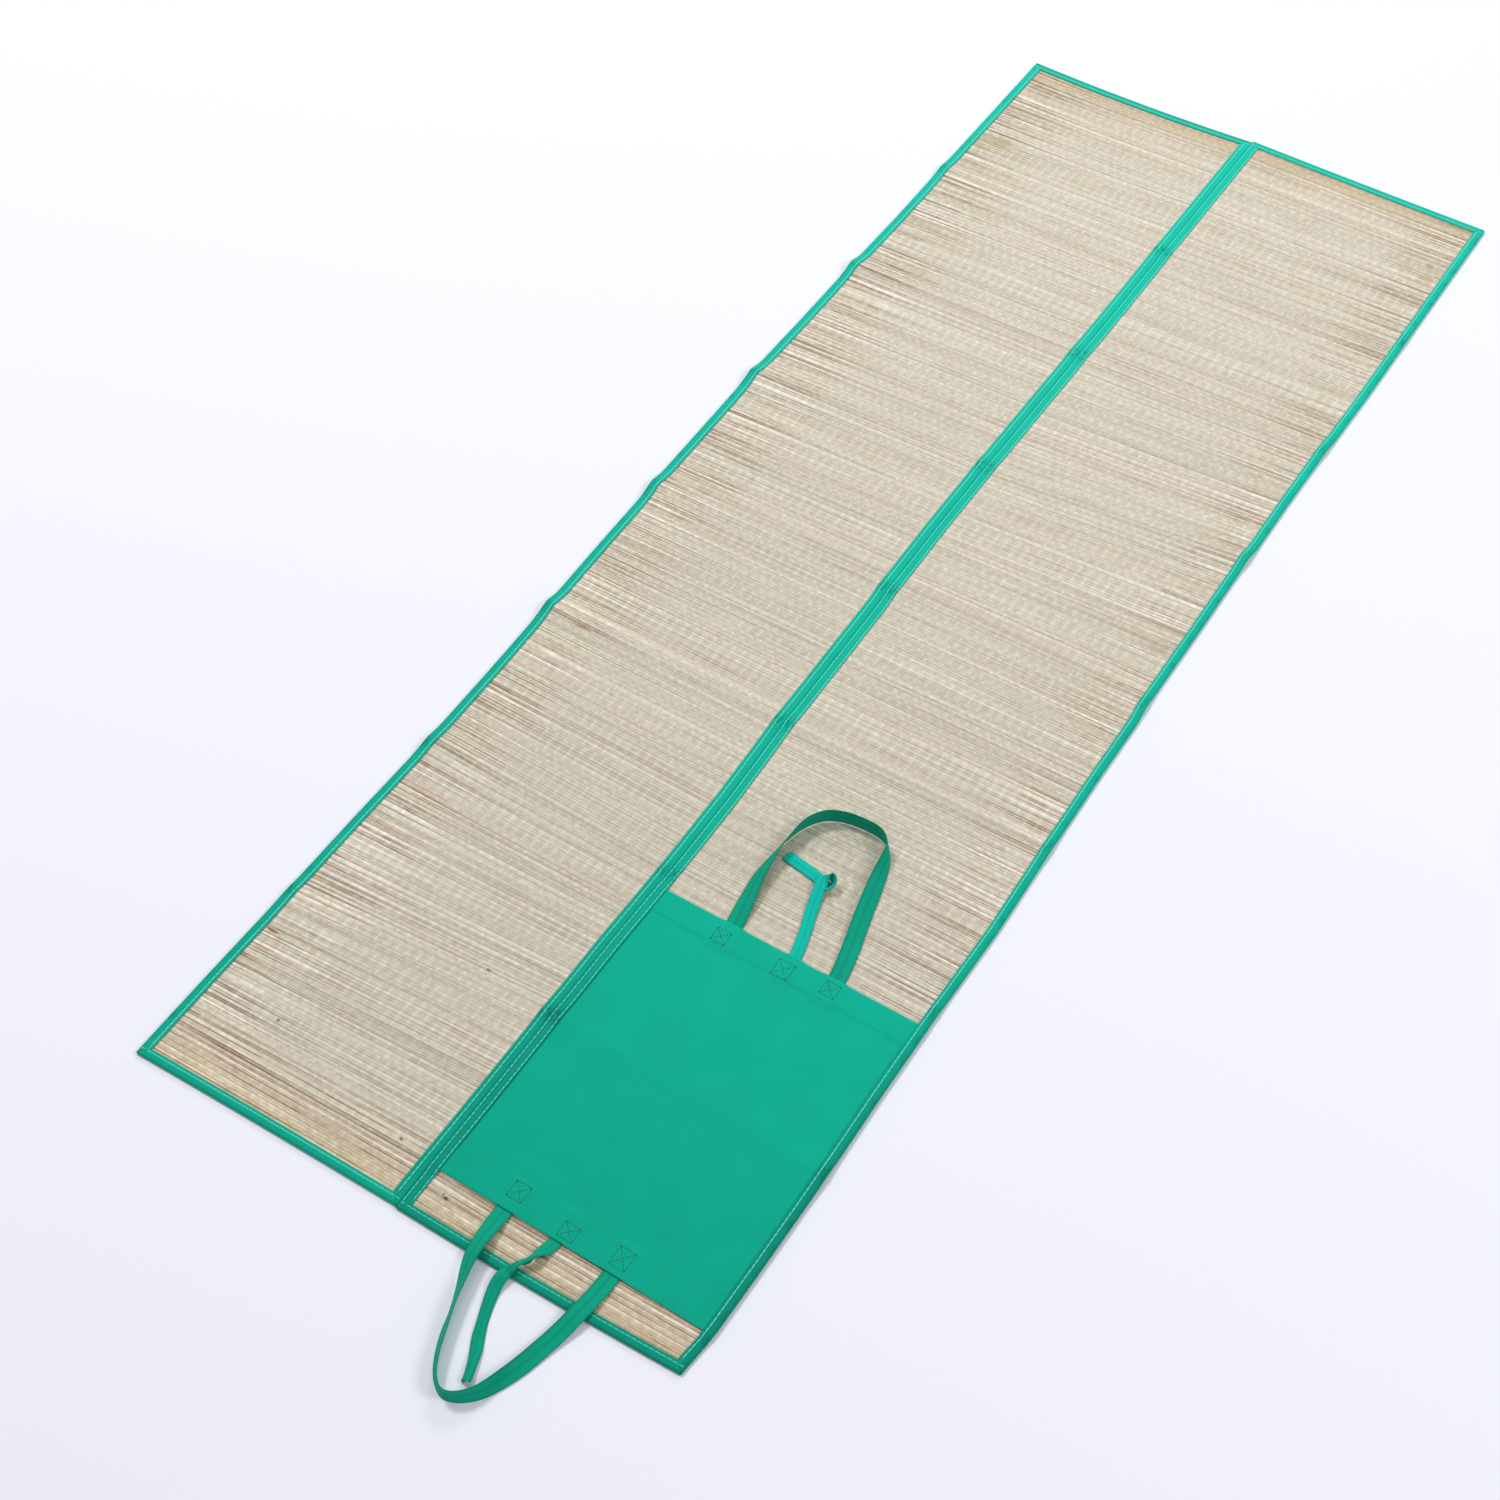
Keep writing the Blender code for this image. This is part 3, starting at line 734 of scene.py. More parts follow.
def straw_gaps(g, colour, reed, place_x, contrast):
    """Painted shade in the gaps between the reeds, mostly brown and red in some gaps, strong in some places
    and lost in others; a few gaps get a pale pink tint instead.
    """
    border = g.maths("ROUND", reed)
    edge = g.maths("ABSOLUTE", g.minus(reed, border))
    broken = g.streaks(place_x, 14.0, border, 2.9, 3.0)
    strength = g.times(g.white(border, 7.0), g.rise(broken, 0.34, 0.60))
    strength = g.plus(0.14, g.times(strength, g.times(contrast, 1.5)), clamp=True)
    kind = g.white(border, 9.0)
    shade = g.mix(g.rise(kind, 0.62, 0.66), GAP_BROWN, GAP_RED)
    shade = g.mix(g.rise(kind, 0.88, 0.90), shade, GAP_PINK)
    share = g.times(g.rise(edge, 0.24, 0.08), strength)
    return g.mix(share, colour, g.tint(colour, shade))


def straw_grain(g, column, number):
    """Brightness along the reeds: faint pale lines of warp, their crossings, and each crossing's luck."""
    nearest = g.maths("ROUND", column)
    thread = g.maths("ABSOLUTE", g.minus(column, nearest))
    pair = g.maths("FLOOR", g.times(number, 0.5))
    turn = g.plus(nearest, g.maths("ROUND", g.white(pair, 5.0)))
    over = g.minus(g.times(g.maths("FLOORED_MODULO", turn, 2.0), 2.0), 1.0)
    crossing = g.times(g.times(over, g.rise(thread, 0.40, 0.12)), CROSSING_GRAIN)
    doubled = g.minus(1.0, g.maths("FLOORED_MODULO", nearest, 2.0))
    line = g.times(g.rise(thread, 0.18, 0.04), g.plus(0.03, g.times(doubled, 0.05)))
    cell = g.white(g.maths("FLOOR", g.plus(g.times(column, 2.0), 0.5)), number)
    luck = g.spread(cell, CELL_GRAIN)
    on_thread = g.times(g.rise(thread, 0.14, 0.06), g.maths("GREATER_THAN", over, 0.0))
    return g.plus(g.plus(crossing, line), g.plus(luck, 1.0)), on_thread


def end_tint(g, colour, place_x, place_y, number):
    """The reeds' brown tint near both ends of the mat."""
    from_end = g.minus(HALF_LENGTH, g.maths("ABSOLUTE", g.minus(place_y, MAT_MIDDLE_Y)))
    ragged = g.streaks(place_x, 14.0, number, 0.7, 2.0)
    reach = g.plus(from_end, g.spread(ragged, END_TINT_RAGGED))
    share = g.times(g.rise(reach, END_TINT_DEPTH, END_TINT_FULL), END_TINT_SHARE)
    return g.mix(share, colour, g.tint(colour, STRAW_END_TINT))


def straw_material():
    """Reeds, each its own tone, with painted shade between them and along the folds, and with warp threads,
    end tints and marks.
    """
    g = Graph("woven_straw")
    column, reed, painted_shade = g.split(g.attribute("weave").outputs["Vector"])
    place_x, place_y, _ = g.split(g.place())
    number = g.maths("FLOOR", reed)
    reed_colour = g.ramp(reed_tone(g, number, place_x), (
        (0.05, STRAW_DARK),
        (0.24, STRAW_PINK),
        (0.42, STRAW_BEIGE),
        (0.58, STRAW_GREEN),
        (0.74, STRAW_LIGHT),
        (0.95, STRAW_CREAM),
    ))
    contrast = straw_contrast(g, place_x, place_y)
    # Painted light: the mean colour grows lighter from the near end to the far end
    mean = g.mix(g.rise(place_y, -0.90, 0.95), STRAW_MEAN, STRAW_MEAN_FAR)
    colour = g.mix(contrast, mean, reed_colour)
    band = g.streaks(place_x, 2.2, place_y, 75.0, 2.0)
    colour = g.mix(g.rise(band, 0.36, 0.66), g.tint(colour, BAND_SHADE), colour)
    colour = straw_gaps(g, colour, reed, place_x, contrast)
    grain, on_thread = straw_grain(g, column, number)
    colour = g.bright(colour, grain)
    colour = end_tint(g, colour, place_x, place_y, number)
    # Painted shade along the fold lines
    colour = g.mix(g.times(painted_shade, FOLD_SHADE), colour, g.tint(colour, STRAW_DARK))
    for x, y, half_width, half_depth, stain, strength in MARKS:
        colour = add_mark(g, colour, (place_x, place_y), (x, y), (half_width, half_depth), stain, strength)

    fibre = g.streaks(place_x, 160.0, place_y, 5200.0, 3.0)
    height = g.plus(g.times(fibre, 0.5), g.times(on_thread, 1.2))
    g.bump(height, 0.00010, 0.6)
    return g.finish(colour, 0.62, 0.30)


def add_mark(g, colour, place, middle, reach, stain, strength):
    """A soft ragged mark on a colour."""
    across_mark = g.maths("DIVIDE", g.minus(place[0], middle[0] + MAT_MIDDLE_X), reach[0])
    along_mark = g.maths("DIVIDE", g.minus(place[1], middle[1] + MAT_MIDDLE_Y), reach[1])
    ragged = g.streaks(place[0], 120.0, place[1], 420.0, 2.0)
    far = g.plus(g.maths("POWER", across_mark, 2.0), g.maths("POWER", along_mark, 2.0))
    far = g.plus(far, g.spread(ragged, 2.4))
    return g.mix(g.times(g.rise(far, 1.3, 0.2), strength), colour, stain)


def cloth_material(name, near_colour, far_colour):
    """Non-woven cloth: a felted surface pressed with a fine grid of dots, with painted shade where it is
    sewn down and in its folds, a pale painted highlight along the stitches, and painted light that makes it
    lighter towards the far end.
    """
    g = Graph(name)
    place = g.place()
    # Painted light: the colour grows lighter from the near end to the far end
    colour = g.mix(g.rise(g.split(place)[1], -0.95, 1.05), near_colour, far_colour)
    painted_shade = g.attribute("painted_shade").outputs["Fac"]
    cloud = g.noise(place, 22.0, 3.0)
    felt = g.noise(place, 900.0, 3.0)
    shade = g.plus(g.times(cloud, 0.16), g.times(felt, 0.22))
    shade = g.plus(shade, 0.81)
    # Painted shade: the value at each point darkens the cloth towards folds, beside stitches, in crumples
    # and puckers, and towards the near end
    shade = g.times(shade, g.minus(1.0, g.times(painted_shade, CREASE_SHADE)))
    tone = g.bright(colour, shade)
    # Painted highlight: where the value at each point is below zero, the cloth is tinted towards the pale
    # thread
    tone = g.mix(g.times(painted_shade, -GLOW_TINT, clamp=True), tone, PALE_THREAD)
    dots = g.node("ShaderNodeTexVoronoi", {"feature": "F1"}, Vector=place, Scale=720.0, Randomness=0.25)
    height = g.plus(g.times(dots.outputs["Distance"], 0.5), g.times(felt, 0.6))
    g.bump(height, 0.00012, 0.55)
    return g.finish(tone, 0.80, 0.10, 0.02)


def thread_material(name, colour):
    """Sewing thread with a fine twist."""
    g = Graph(name)
    twist = g.noise(g.place(), 1600.0, 2.0)
    g.bump(twist, 0.00008, 0.5)
    shade = g.plus(0.88, g.times(twist, 0.24))
    tone = g.bright(colour, shade)
    return g.finish(tone, 0.45, 0.45)


def floor_material():
    g = Graph("pale_floor")
    cloud = g.noise(g.place(), 0.8, 2.0)
    g.finish(g.mix(g.times(cloud, 0.02), FLOOR_WHITE, FLOOR_CLOUD), 0.9, 0.0)
    return g.material


def new_piece(name, vertices, faces, material, attributes=None):
    """A mesh piece that rides on the mat, with smooth faces and named values at its points."""
    mesh = bpy.data.meshes.new(name)
    mesh.from_pydata(vertices, [], faces)
    mesh.polygons.foreach_set("use_smooth", [True] * len(mesh.polygons))
    for title, (kind, key, values) in (attributes or {}).items():
        layer = mesh.attributes.new(title, kind, "POINT")
        layer.data.foreach_set(key, values)
    mesh.materials.append(material)
    piece = bpy.data.objects.new(name, mesh)
    bpy.context.scene.collection.objects.link(piece)
    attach(piece, "root")
    return piece


def grid_faces(rows, columns, start=0):
    """The faces of a grid of points that is stored row by row."""
    faces = []
    for row in range(rows - 1):
        for column in range(columns - 1):
            corner = start + row * columns + column
            faces.append((corner, corner + 1, corner + columns + 1, corner + columns))
    return faces


def thicken(piece, thickness):
    """Gives a sheet its thickness, with crisp rims."""
    solidify = piece.modifiers.new("thickness", "SOLIDIFY")
    solidify.thickness = thickness
    solidify.offset = 0.0
    solidify.use_even_offset = True
    solidify.use_quality_normals = True
    evaluated = piece.evaluated_get(bpy.context.evaluated_depsgraph_get())
    mesh = bpy.data.meshes.new_from_object(evaluated)
    piece.modifiers.clear()
    piece.data = mesh
    mesh.set_sharp_from_angle(angle=math.radians(CRISP_ANGLE))
    return piece


def cloth_sheet(name, rows, thickness, material, painted_shades=None):
    """A sheet through rows of points."""
    columns = len(rows[0])
    points = [point for row in rows for point in row]
    values = [0.0] * len(points) if painted_shades is None else [value for row in painted_shades for value in row]
    # The painted shade at each point, which the cloth material darkens by
    attributes = {"painted_shade": ("FLOAT", "value", values)}
    piece = new_piece(name, points, grid_faces(len(rows), columns), material, attributes)
    return thicken(piece, thickness)


def reed_lines(draw):
    """Positions of the lines between the reeds, counted in panels, for reeds of uneven width."""
    first = STRAW_INSET / PANEL_LENGTH
    count = round(PANELS * PANEL_LENGTH / REED_PITCH)
    widths = [1 + draw.uniform(-REED_SPREAD, REED_SPREAD) for _ in range(count)]
    scale = (PANELS - 2 * first) / sum(widths)
    lines = [first]
    for width in widths:
        lines.append(lines[-1] + width * scale)
    return lines


def build_straw(half, seed, material):
    """A straw half: reeds as raised rows that dip under the warp threads, and a plain back."""
    draw = random.Random(seed)
    lines = reed_lines(draw)
    rows = []
    for reed, (low, high) in enumerate(zip(lines, lines[1:])):
        crest = draw.uniform(-CREST_SPREAD, CREST_SPREAD)
        for share, depth in REED_PROFILE:
            height = crest if depth == 0.0 else VALLEY_DEPTH * depth
            rows.append((blend(low, high, share), reed + share, height, WARP_DIP * (1 + depth)))
    rows.append((lines[-1], float(len(lines) - 1), -VALLEY_DEPTH, 0.0))

    points, weave = [], []

    def add(position, share, reed, height):
        outer = side_x(half, "outer", position, STRAW_INSET)
        inner = side_x(half, "seam", position, STRAW_INSET)
        x = blend(outer, inner, share)
        y = row_line(half, position, x)
        wave = noise.noise(Vector((x * REED_WAVE_SCALE[0], y * REED_WAVE_SCALE[1], seed)))
        y += REED_WAVE * wave
        # How close the point is to a fold line, for the painted shade there
        near_fold = math.exp(-(nearest_fold(x, y)[0] / FOLD_LINE) ** 2)
        points.append(lay(x, y, height))
        weave.extend((share * WARP_COLUMNS, reed, near_fold))

    for position, reed, height, dip in rows:
        for column in range(WARP_COLUMNS + 1):
            under = (column + int(reed / 2)) % 2 == 0
            held = -dip if under else dip / 2
            add(position, column / WARP_COLUMNS, reed, STRAW_TOP - CREST_DOWN + height + held)
    front = len(points)
    for row in range(BACK_ROWS + 1):
        index = min(round(row / BACK_ROWS * (len(rows) - 1)), len(rows) - 1)
        for column in range(BACK_COLUMNS + 1):
            add(rows[index][0], column / BACK_COLUMNS, rows[index][1], STRAW_BOTTOM)
    faces = grid_faces(len(rows), WARP_COLUMNS + 1)
    faces += grid_faces(BACK_ROWS + 1, BACK_COLUMNS + 1, front)
    if half == "right":
        faces = [face[::-1] for face in faces]
    attributes = {"weave": ("FLOAT_VECTOR", "vector", weave)}
    piece = new_piece("woven_straw_" + half, points, faces, material, attributes)
    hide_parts("straw_" + half)
    return piece


def groove(inset, stitch_rows):
    """How deep the sewing presses the tape down at a distance in from its fold, from 0 to 1."""
    return sum(math.exp(-((inset - row) / GROOVE_WIDTH) ** 2) for row in stitch_rows)


def sewn_shade(inset, stitch_rows, edge_shade):
    """Painted shade on the tape: darker towards its fold and on both sides of each row of stitches, with a
    painted highlight, below zero, along each row.
    """
    shade = edge_shade * (1 - smooth_share(inset / EDGE_SHADE_REACH))
    for row in stitch_rows:
        away = abs(inset - row)
        shade += LINE_SHADE * math.exp(-((away - LINE_OFFSET) / LINE_WIDTH) ** 2)
        shade -= GLOW * math.exp(-(away / GLOW_WIDTH) ** 2)
    return shade


def tape_section(width, lift, stitch_rows, rounding=FOLD_ROUNDING, edge_shade=0.0):
    """A binding's section, from its floor flange round the fold to its top flange.

    Columns: distance in from the fold, height, distance back from the mitre, painted shade (a painted
    highlight where below zero).
    """
    low = TAPE_SKIN / 2
    high = TAPE_TOP - TAPE_SKIN / 2 + lift
    middle = (low + high) / 2
    section = [
        (width, low, GAP / 2, 0.0),
        (2 * rounding, low, MITRE_BACK, 0.0),
        (rounding, blend(low, middle, 0.35), MITRE_BACK, edge_shade),
        (TAPE_SKIN / 2, middle, MITRE_BACK, edge_shade),
        (rounding, blend(high, middle, 0.35), MITRE_BACK, edge_shade),
    ]
    for step in range(TAPE_TOP_STEPS + 1):
        share = step / TAPE_TOP_STEPS
        inset = blend(2 * rounding - 0.0001, width, share)
        pressed = groove(inset, stitch_rows)
        puff = TAPE_PUFF * math.sin(math.pi * min(1.0, share * 1.05)) ** 0.7
        height = high - GROOVE_DEPTH * 0.35 + puff * (1 - pressed) - GROOVE_DEPTH * pressed * 0.6
        section.append((inset, height, MITRE_BACK, sewn_shade(inset, stitch_rows, edge_shade)))
    return section


def near_shade(half, side, y):
    """Painted shade: how much darker a tape is painted towards the near end of the mat."""
    return NEAR_SHADES[half, side] * smooth_share((NEAR_FROM - y) / NEAR_REACH)


def tape_point(half, side, position, inset, height, back):
    """A point of a long tape."""
    x = side_x(half, side, position, inset)
    y = row_line(half, position, x)
    y += (inset + back) * max(0.0, 1 - position * PANEL_LENGTH / MITRE_REACH)
    y -= (inset + back) * max(0.0, 1 - (PANELS - position) * PANEL_LENGTH / MITRE_REACH)
    return lay(x, y, height)


def build_long_tape(half, side, material):
    """The tape folded over a half's outer side or its seam side."""
    width = TAPE_WIDTHS[half, side]
    count = round(PANELS * PANEL_LENGTH / TAPE_ROW)
    rows, painted_shades = [], []
    for step in range(count + 1):
        position = PANELS * step / count
        edge = side_x(half, side, position, 0.0)
        y = row_line(half, position, edge)
        lift = panel_lift(half, edge, y)
        unevenness = UNEVENNESS * noise.noise(Vector((edge * 10, y * 45, 3.0)))
        pucker = max(0.0, noise.noise(Vector((edge * 10, y * PUCKER_SCALE, 6.0))) * 2)
        rounding = SEAM_ROUNDING if side == "seam" else FOLD_ROUNDING
        edge_shade = SEAM_SHADE if side == "seam" else EDGE_SHADE
        # Painted shade towards the near end of the mat
        dimmed = near_shade(half, side, y)
        folded = math.exp(-(nearest_fold(edge, y)[0] / CRUMPLE_REACH) ** 2)
        row, painted_shade = [], []
        section = tape_section(width, lift, STITCH_ROWS[half, side], rounding, edge_shade)
        for inset, height, back, shade in section:
            if inset > TAPE_SKIN and height > STRAW_TOP:
                height += unevenness
                spot = noise.noise(Vector((inset * CRUMPLE_SCALE[0], y * CRUMPLE_SCALE[1], 9.0)))
                crumple = folded * smooth_share(0.45 + 1.3 * spot)
                height -= CRUMPLE_DIP * crumple
                # Painted shade in the crumples
                shade += CRUMPLE_SHADE[side] * crumple
                if side == "outer":
                    edge_share = pucker * math.exp(-(inset / PUCKER_REACH) ** 2)
                    height -= PUCKER * edge_share
                    # Painted shade in the puckers
                    shade += PUCKER_SHADE * edge_share
            row.append(tape_point(half, side, position, inset, height, back))
            painted_shade.append(min(1.0, shade + dimmed))
        rows.append(row)
        painted_shades.append(painted_shade)
    turned = (half == "left") == (side == "outer")
    return finish_tape(half, side, rows, painted_shades, turned, material)


def build_end_tape(half, end, material):
    """The tape folded over a half's near or far end."""
    far = end == "far"
    inward = -1 if far else 1
    position = float(PANELS) if far else 0.0
    rows, painted_shades = [], []
    for step in range(END_TAPE_STEPS + 1):
        share = step / END_TAPE_STEPS
        row, painted_shade = [], []
        # Painted shade towards the fold, stronger on the far ends and strongest on the far left
        edge_shade = FAR_END_SHADES[half] if far else EDGE_SHADE
        # Painted shade towards the near end of the mat
        dimmed = 0.0 if far else near_shade(half, end, end_line(half, far, 0.0))
        section = tape_section(END_TAPE_WIDTH, 0.0, (END_STITCH_ROW,), edge_shade=edge_shade)
        for inset, height, back, shade in section:
            outer = side_x(half, "outer", position, inset + back)
            inner = side_x(half, "seam", position, inset + back)
            x = blend(outer, inner, share)
            row.append(lay(x, end_line(half, far, x) + inward * inset, height))
            painted_shade.append(min(1.0, shade + dimmed))
        rows.append(row)
        painted_shades.append(painted_shade)
    turned = (half == "left") == far
    return finish_tape(half, end, rows, painted_shades, turned, material)


def finish_tape(half, side, rows, painted_shades, turned, material):
    """A tape's cloth through its rows of points, with its upper side up."""
    if turned:
        rows = [row[::-1] for row in rows]
        painted_shades = [painted_shade[::-1] for painted_shade in painted_shades]
    piece = cloth_sheet("tape_{}_{}".format(half, side), rows, TAPE_SKIN, material, painted_shades)
    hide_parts("binding_{}_{}".format(half, side))
    return piece


def panel_height(x, y):
    """The height of the middle of the panel's cloth, and how deep its hem's sewing is there."""
    position = position_of("right", x, y)
    left = side_x("right", "seam", position, PANEL_INSET)
    right = side_x("right", "outer", position, PANEL_INSET)
    from_edge = min(y - panel_edge(PANEL_NEAR, x), panel_edge(PANEL_FAR, x) - y)
    hem = smooth_share((HEM_DEPTH + HEM_STEP / 2 - from_edge) / HEM_STEP)
    sewn = math.exp(-((from_edge - HEM_DEPTH + HEM_SEWN) / HEM_GROOVE) ** 2)
    dropped = (GAP + (HEM - CLOTH) / 2) * (1 - smooth_share((from_edge + HEM_STEP) / HEM_DROP))
    inside = smooth_share(min(x - left, right - x) / PANEL_SLACK_SIDE - 0.4)
    inside *= smooth_share((from_edge - HEM_DEPTH) / PANEL_SLACK_SIDE)
    wave = noise.noise(Vector((x * 11, y * 16, 4.0))) + 0.6 * noise.noise(Vector((x * 30, y * 9, 8.0)))
    height = STRAW_TOP + GAP + CLOTH / 2 + (HEM - CLOTH) * hem - dropped + strap_lift(x, y)
    height += PANEL_WAVE * inside * (0.5 + wave / 2) - HEM_GROOVE_DEPTH * sewn
    return height, sewn


def build_panel(material):
    """The carry panel, with a double layer along its hems and raised over the strap ends."""
    shares = {step / PANEL_ROWS for step in range(PANEL_ROWS + 1)}.union(PANEL_EDGE_ROWS)
    rows, painted_shades = [], []
    for along in sorted(shares):
        row, painted_shade = [], []
        for step in range(PANEL_COLUMNS + 1):
            flat_x = blend(EDGES[0][2] + PANEL_INSET, EDGES[0][3] - PANEL_INSET, step / PANEL_COLUMNS)
            y = blend(panel_edge(PANEL_NEAR, flat_x), panel_edge(PANEL_FAR, flat_x), along)
            position = position_of("right", flat_x, y)
            left = side_x("right", "seam", position, PANEL_INSET)
            x = blend(left, side_x("right", "outer", position, PANEL_INSET), step / PANEL_COLUMNS)
            height, sewn = panel_height(x, y)
            row.append(lay(x, y, height))
            # Painted shade along the hem's sewn groove
            painted_shade.append(HEM_SHADE * sewn)
        rows.append(row)
        painted_shades.append(painted_shade)
    piece = cloth_sheet("panel_cloth", rows, CLOTH_SKIN, material, painted_shades)
    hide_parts("carry_panel")
    return piece


def in_metres(table):
    """A route's table with its lengths turned from millimetres to metres."""
    return [tuple(value * MM for value in row[:3]) + row[3:] for row in table]


def smooth_route(table, steps):
    """Points of a smooth curve through a table's rows, with the other columns carried along."""
    table = in_metres(table)
    route = []
    for index in range(len(table) - 1):
        before = table[max(index - 1, 0)]
        start, stop = table[index], table[index + 1]
        after = table[min(index + 2, len(table) - 1)]
        for step in range(steps):
            t = step / steps
            weights = (
                -0.5 * t + t * t - 0.5 * t ** 3,
                1 - 2.5 * t * t + 1.5 * t ** 3,
                0.5 * t + 2 * t * t - 1.5 * t ** 3,
                -0.5 * t * t + 0.5 * t ** 3,
            )
            corners = (before, start, stop, after)
            route.append(tuple(
                sum(weight * corner[column] for weight, corner in zip(weights, corners))
                for column in range(len(start))
            ))
    route.append(tuple(float(value) for value in table[-1]))
    return route


def arched_section(width, low_share, arch):
    """A strap's section as an arc. Columns: distance along the chord, height over it."""
    bend = math.radians(arch)
    section = []
    for cell in range(STRAP_CELLS + 1):
        share = cell / STRAP_CELLS
        if abs(bend) < STRAIGHT:
            section.append((width * (share - low_share), 0.0))
            continue
        radius = width / (2 * bend)
        angle = bend * (2 * share - 1)
        chord = radius * math.sin(angle) + width * (0.5 - low_share)
        section.append((chord, radius * (math.cos(angle) - math.cos(bend))))
    return section


def strap_rows(route, width, low_share, turn):
    """Rows of points across a strap that rolls about its route."""
    rows = []
    for index, (x, y, z, roll, arch) in enumerate(route):
        before = route[max(index - 1, 0)]
        after = route[min(index + 1, len(route) - 1)]
        forward = Vector((after[0] - before[0], after[1] - before[1], after[2] - before[2])).normalized()
        sideways = (forward.cross(Vector((0, 0, 1))) * turn).normalized()
        upward = forward.cross(sideways) * -turn
        if upward.z < 0:
            upward = -upward
        angle = math.radians(roll)
        reach = sideways * math.cos(angle) + upward * math.sin(angle)
        outward = upward * math.cos(angle) - sideways * math.sin(angle)
        section = arched_section(width, low_share, arch)
        offsets = [reach * along + outward * height for along, height in section]
        lowest = min(offset.z for offset in offsets)
        row = []
        for offset in offsets:
            row.append(lay(x + offset.x, y + offset.y, z + offset.z - lowest))
        rows.append(row)
    return rows


def strap_painted_shade():
    """Painted shade across a strap's width: along its rims, and along the lines that it was pressed along.
    """
    painted_shades = []
    for cell in range(STRAP_CELLS + 1):
        share = cell / STRAP_CELLS
        pressed = [depth * math.exp(-((share - place) / reach) ** 2) for place, reach, depth in PRESSED_LINE_SHADES]
        painted_shades.append(sum(pressed))
    painted_shades[0] = painted_shades[-1] = RIM_SHADE
    return painted_shades


def build_strap(name, table, width, low_share, base, turn, material):
    """A handle or tie. A handle's route is its low edge, and a tie's is its middle."""
    route = [(x, y, z + base, roll, arch) for x, y, z, roll, arch in smooth_route(table, STRAP_STEPS)]
    rows = strap_rows(route, width, low_share, turn)
    piece = cloth_sheet(name + "_cloth", rows, CLOTH_SKIN, material, [strap_painted_shade()] * len(rows))
    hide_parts(name)


class Sewing:
    """Stitches of one thread, gathered into a single mesh."""

    SIDES = 5
    # Columns: share of the stitch's length, share of its radius, sink in radii
    RINGS = ((0.0, 0.45, 1.1), (0.10, 0.92, 0.25), (0.5, 1.0, 0.0), (0.90, 0.92, 0.25), (1.0, 0.45, 1.1))

    def __init__(self):
        self.points = []
        self.faces = []

    def stitch(self, start, stop, radius):
        forward = (stop - start).normalized()
        sideways = forward.cross(Vector((0, 0, 1))).normalized()
        upward = sideways.cross(forward)
        first = len(self.points)
        for share, size, sink in self.RINGS:
            middle = start.lerp(stop, share) - upward * (sink * radius)
            for side in range(self.SIDES):
                angle = 2 * math.pi * side / self.SIDES
                offset = sideways * math.cos(angle) + upward * math.sin(angle)
                self.points.append(middle + offset * (radius * size))
        for ring in range(len(self.RINGS) - 1):
            for side in range(self.SIDES):
                other = (side + 1) % self.SIDES
                low = first + ring * self.SIDES
                high = low + self.SIDES
                self.faces.append((low + side, low + other, high + other, high + side))
        self.faces.append(tuple(first + side for side in reversed(range(self.SIDES))))
        last = first + (len(self.RINGS) - 1) * self.SIDES
        self.faces.append(tuple(last + side for side in range(self.SIDES)))

    def row(self, path, length, pitch, radius):
        """Stitches along a path of points."""
        spans = [0.0]
        for low, high in zip(path, path[1:]):
            spans.append(spans[-1] + (high - low).length)

        def point(distance):
            for index in range(len(path) - 1):
                if distance <= spans[index + 1]:
                    share = (distance - spans[index]) / (spans[index + 1] - spans[index])
                    return path[index].lerp(path[index + 1], share)
            return path[-1].copy()

        count = max(1, round((spans[-1] - length) / pitch))
        step = (spans[-1] - length) / count
        for index in range(count + 1):
            self.stitch(point(index * step), point(index * step + length), radius)

    def piece(self, name, material, slot):
        made = new_piece(name, self.points, self.faces, material)
        return made


def tape_stitch_path(half, side, inset, low, high, sunk):
    """A line along a tape's upper side between two positions."""
    path = []
    steps = round((high - low) * STITCH_PATH_STEPS)
    for step in range(steps + 1):
        position = blend(low, high, step / steps)
        edge = side_x(half, side, position, 0.0)
        lift = panel_lift(half, edge, row_line(half, position, edge))
        path.append(tape_point(half, side, position, inset, TAPE_TOP + lift - sunk, 0.0))
    return path


def end_stitch_path(half, far, sunk):
    """A line along an end tape's upper side."""
    position = float(PANELS) if far else 0.0
    outer = side_x(half, "outer", position, 0.0015)
    inner = side_x(half, "seam", position, 0.0010)
    path = []
    for step in range(STITCH_PATH_STEPS + 1):
        x = blend(outer, inner, step / STITCH_PATH_STEPS)
        y = end_line(half, far, x) + (-END_STITCH_ROW if far else END_STITCH_ROW)
        path.append(lay(x, y, TAPE_TOP - sunk))
    return path


def sew_tapes(material):
    """The pale rows of stitches on the tapes."""
    sewing = Sewing()
    sunk = GROOVE_DEPTH * 0.95 - STITCH_RADIUS * 0.9
    for (half, side), insets in STITCH_ROWS.items():
        close = (half, side) != ("right", "seam")
        length = CLOSE_LENGTH if close else STITCH_LENGTH
        radius = CLOSE_RADIUS if close else STITCH_RADIUS
        for inset in insets:
            x = side_x(half, side, 0.0, inset)
            start = position_of(half, x, end_line(half, False, x) + END_STITCH_ROW)
            stop = position_of(half, x, end_line(half, True, x) - END_STITCH_ROW)
            sewing.row(tape_stitch_path(half, side, inset, start, stop, sunk), length, STITCH_PITCH, radius)
    for half in ("left", "right"):
        for far in (False, True):
            path = end_stitch_path(half, far, sunk)
            sewing.row(path, CLOSE_LENGTH if far else STITCH_LENGTH, STITCH_PITCH, STITCH_RADIUS)
    return sewing.piece("tape_stitches", material, "binding_green")


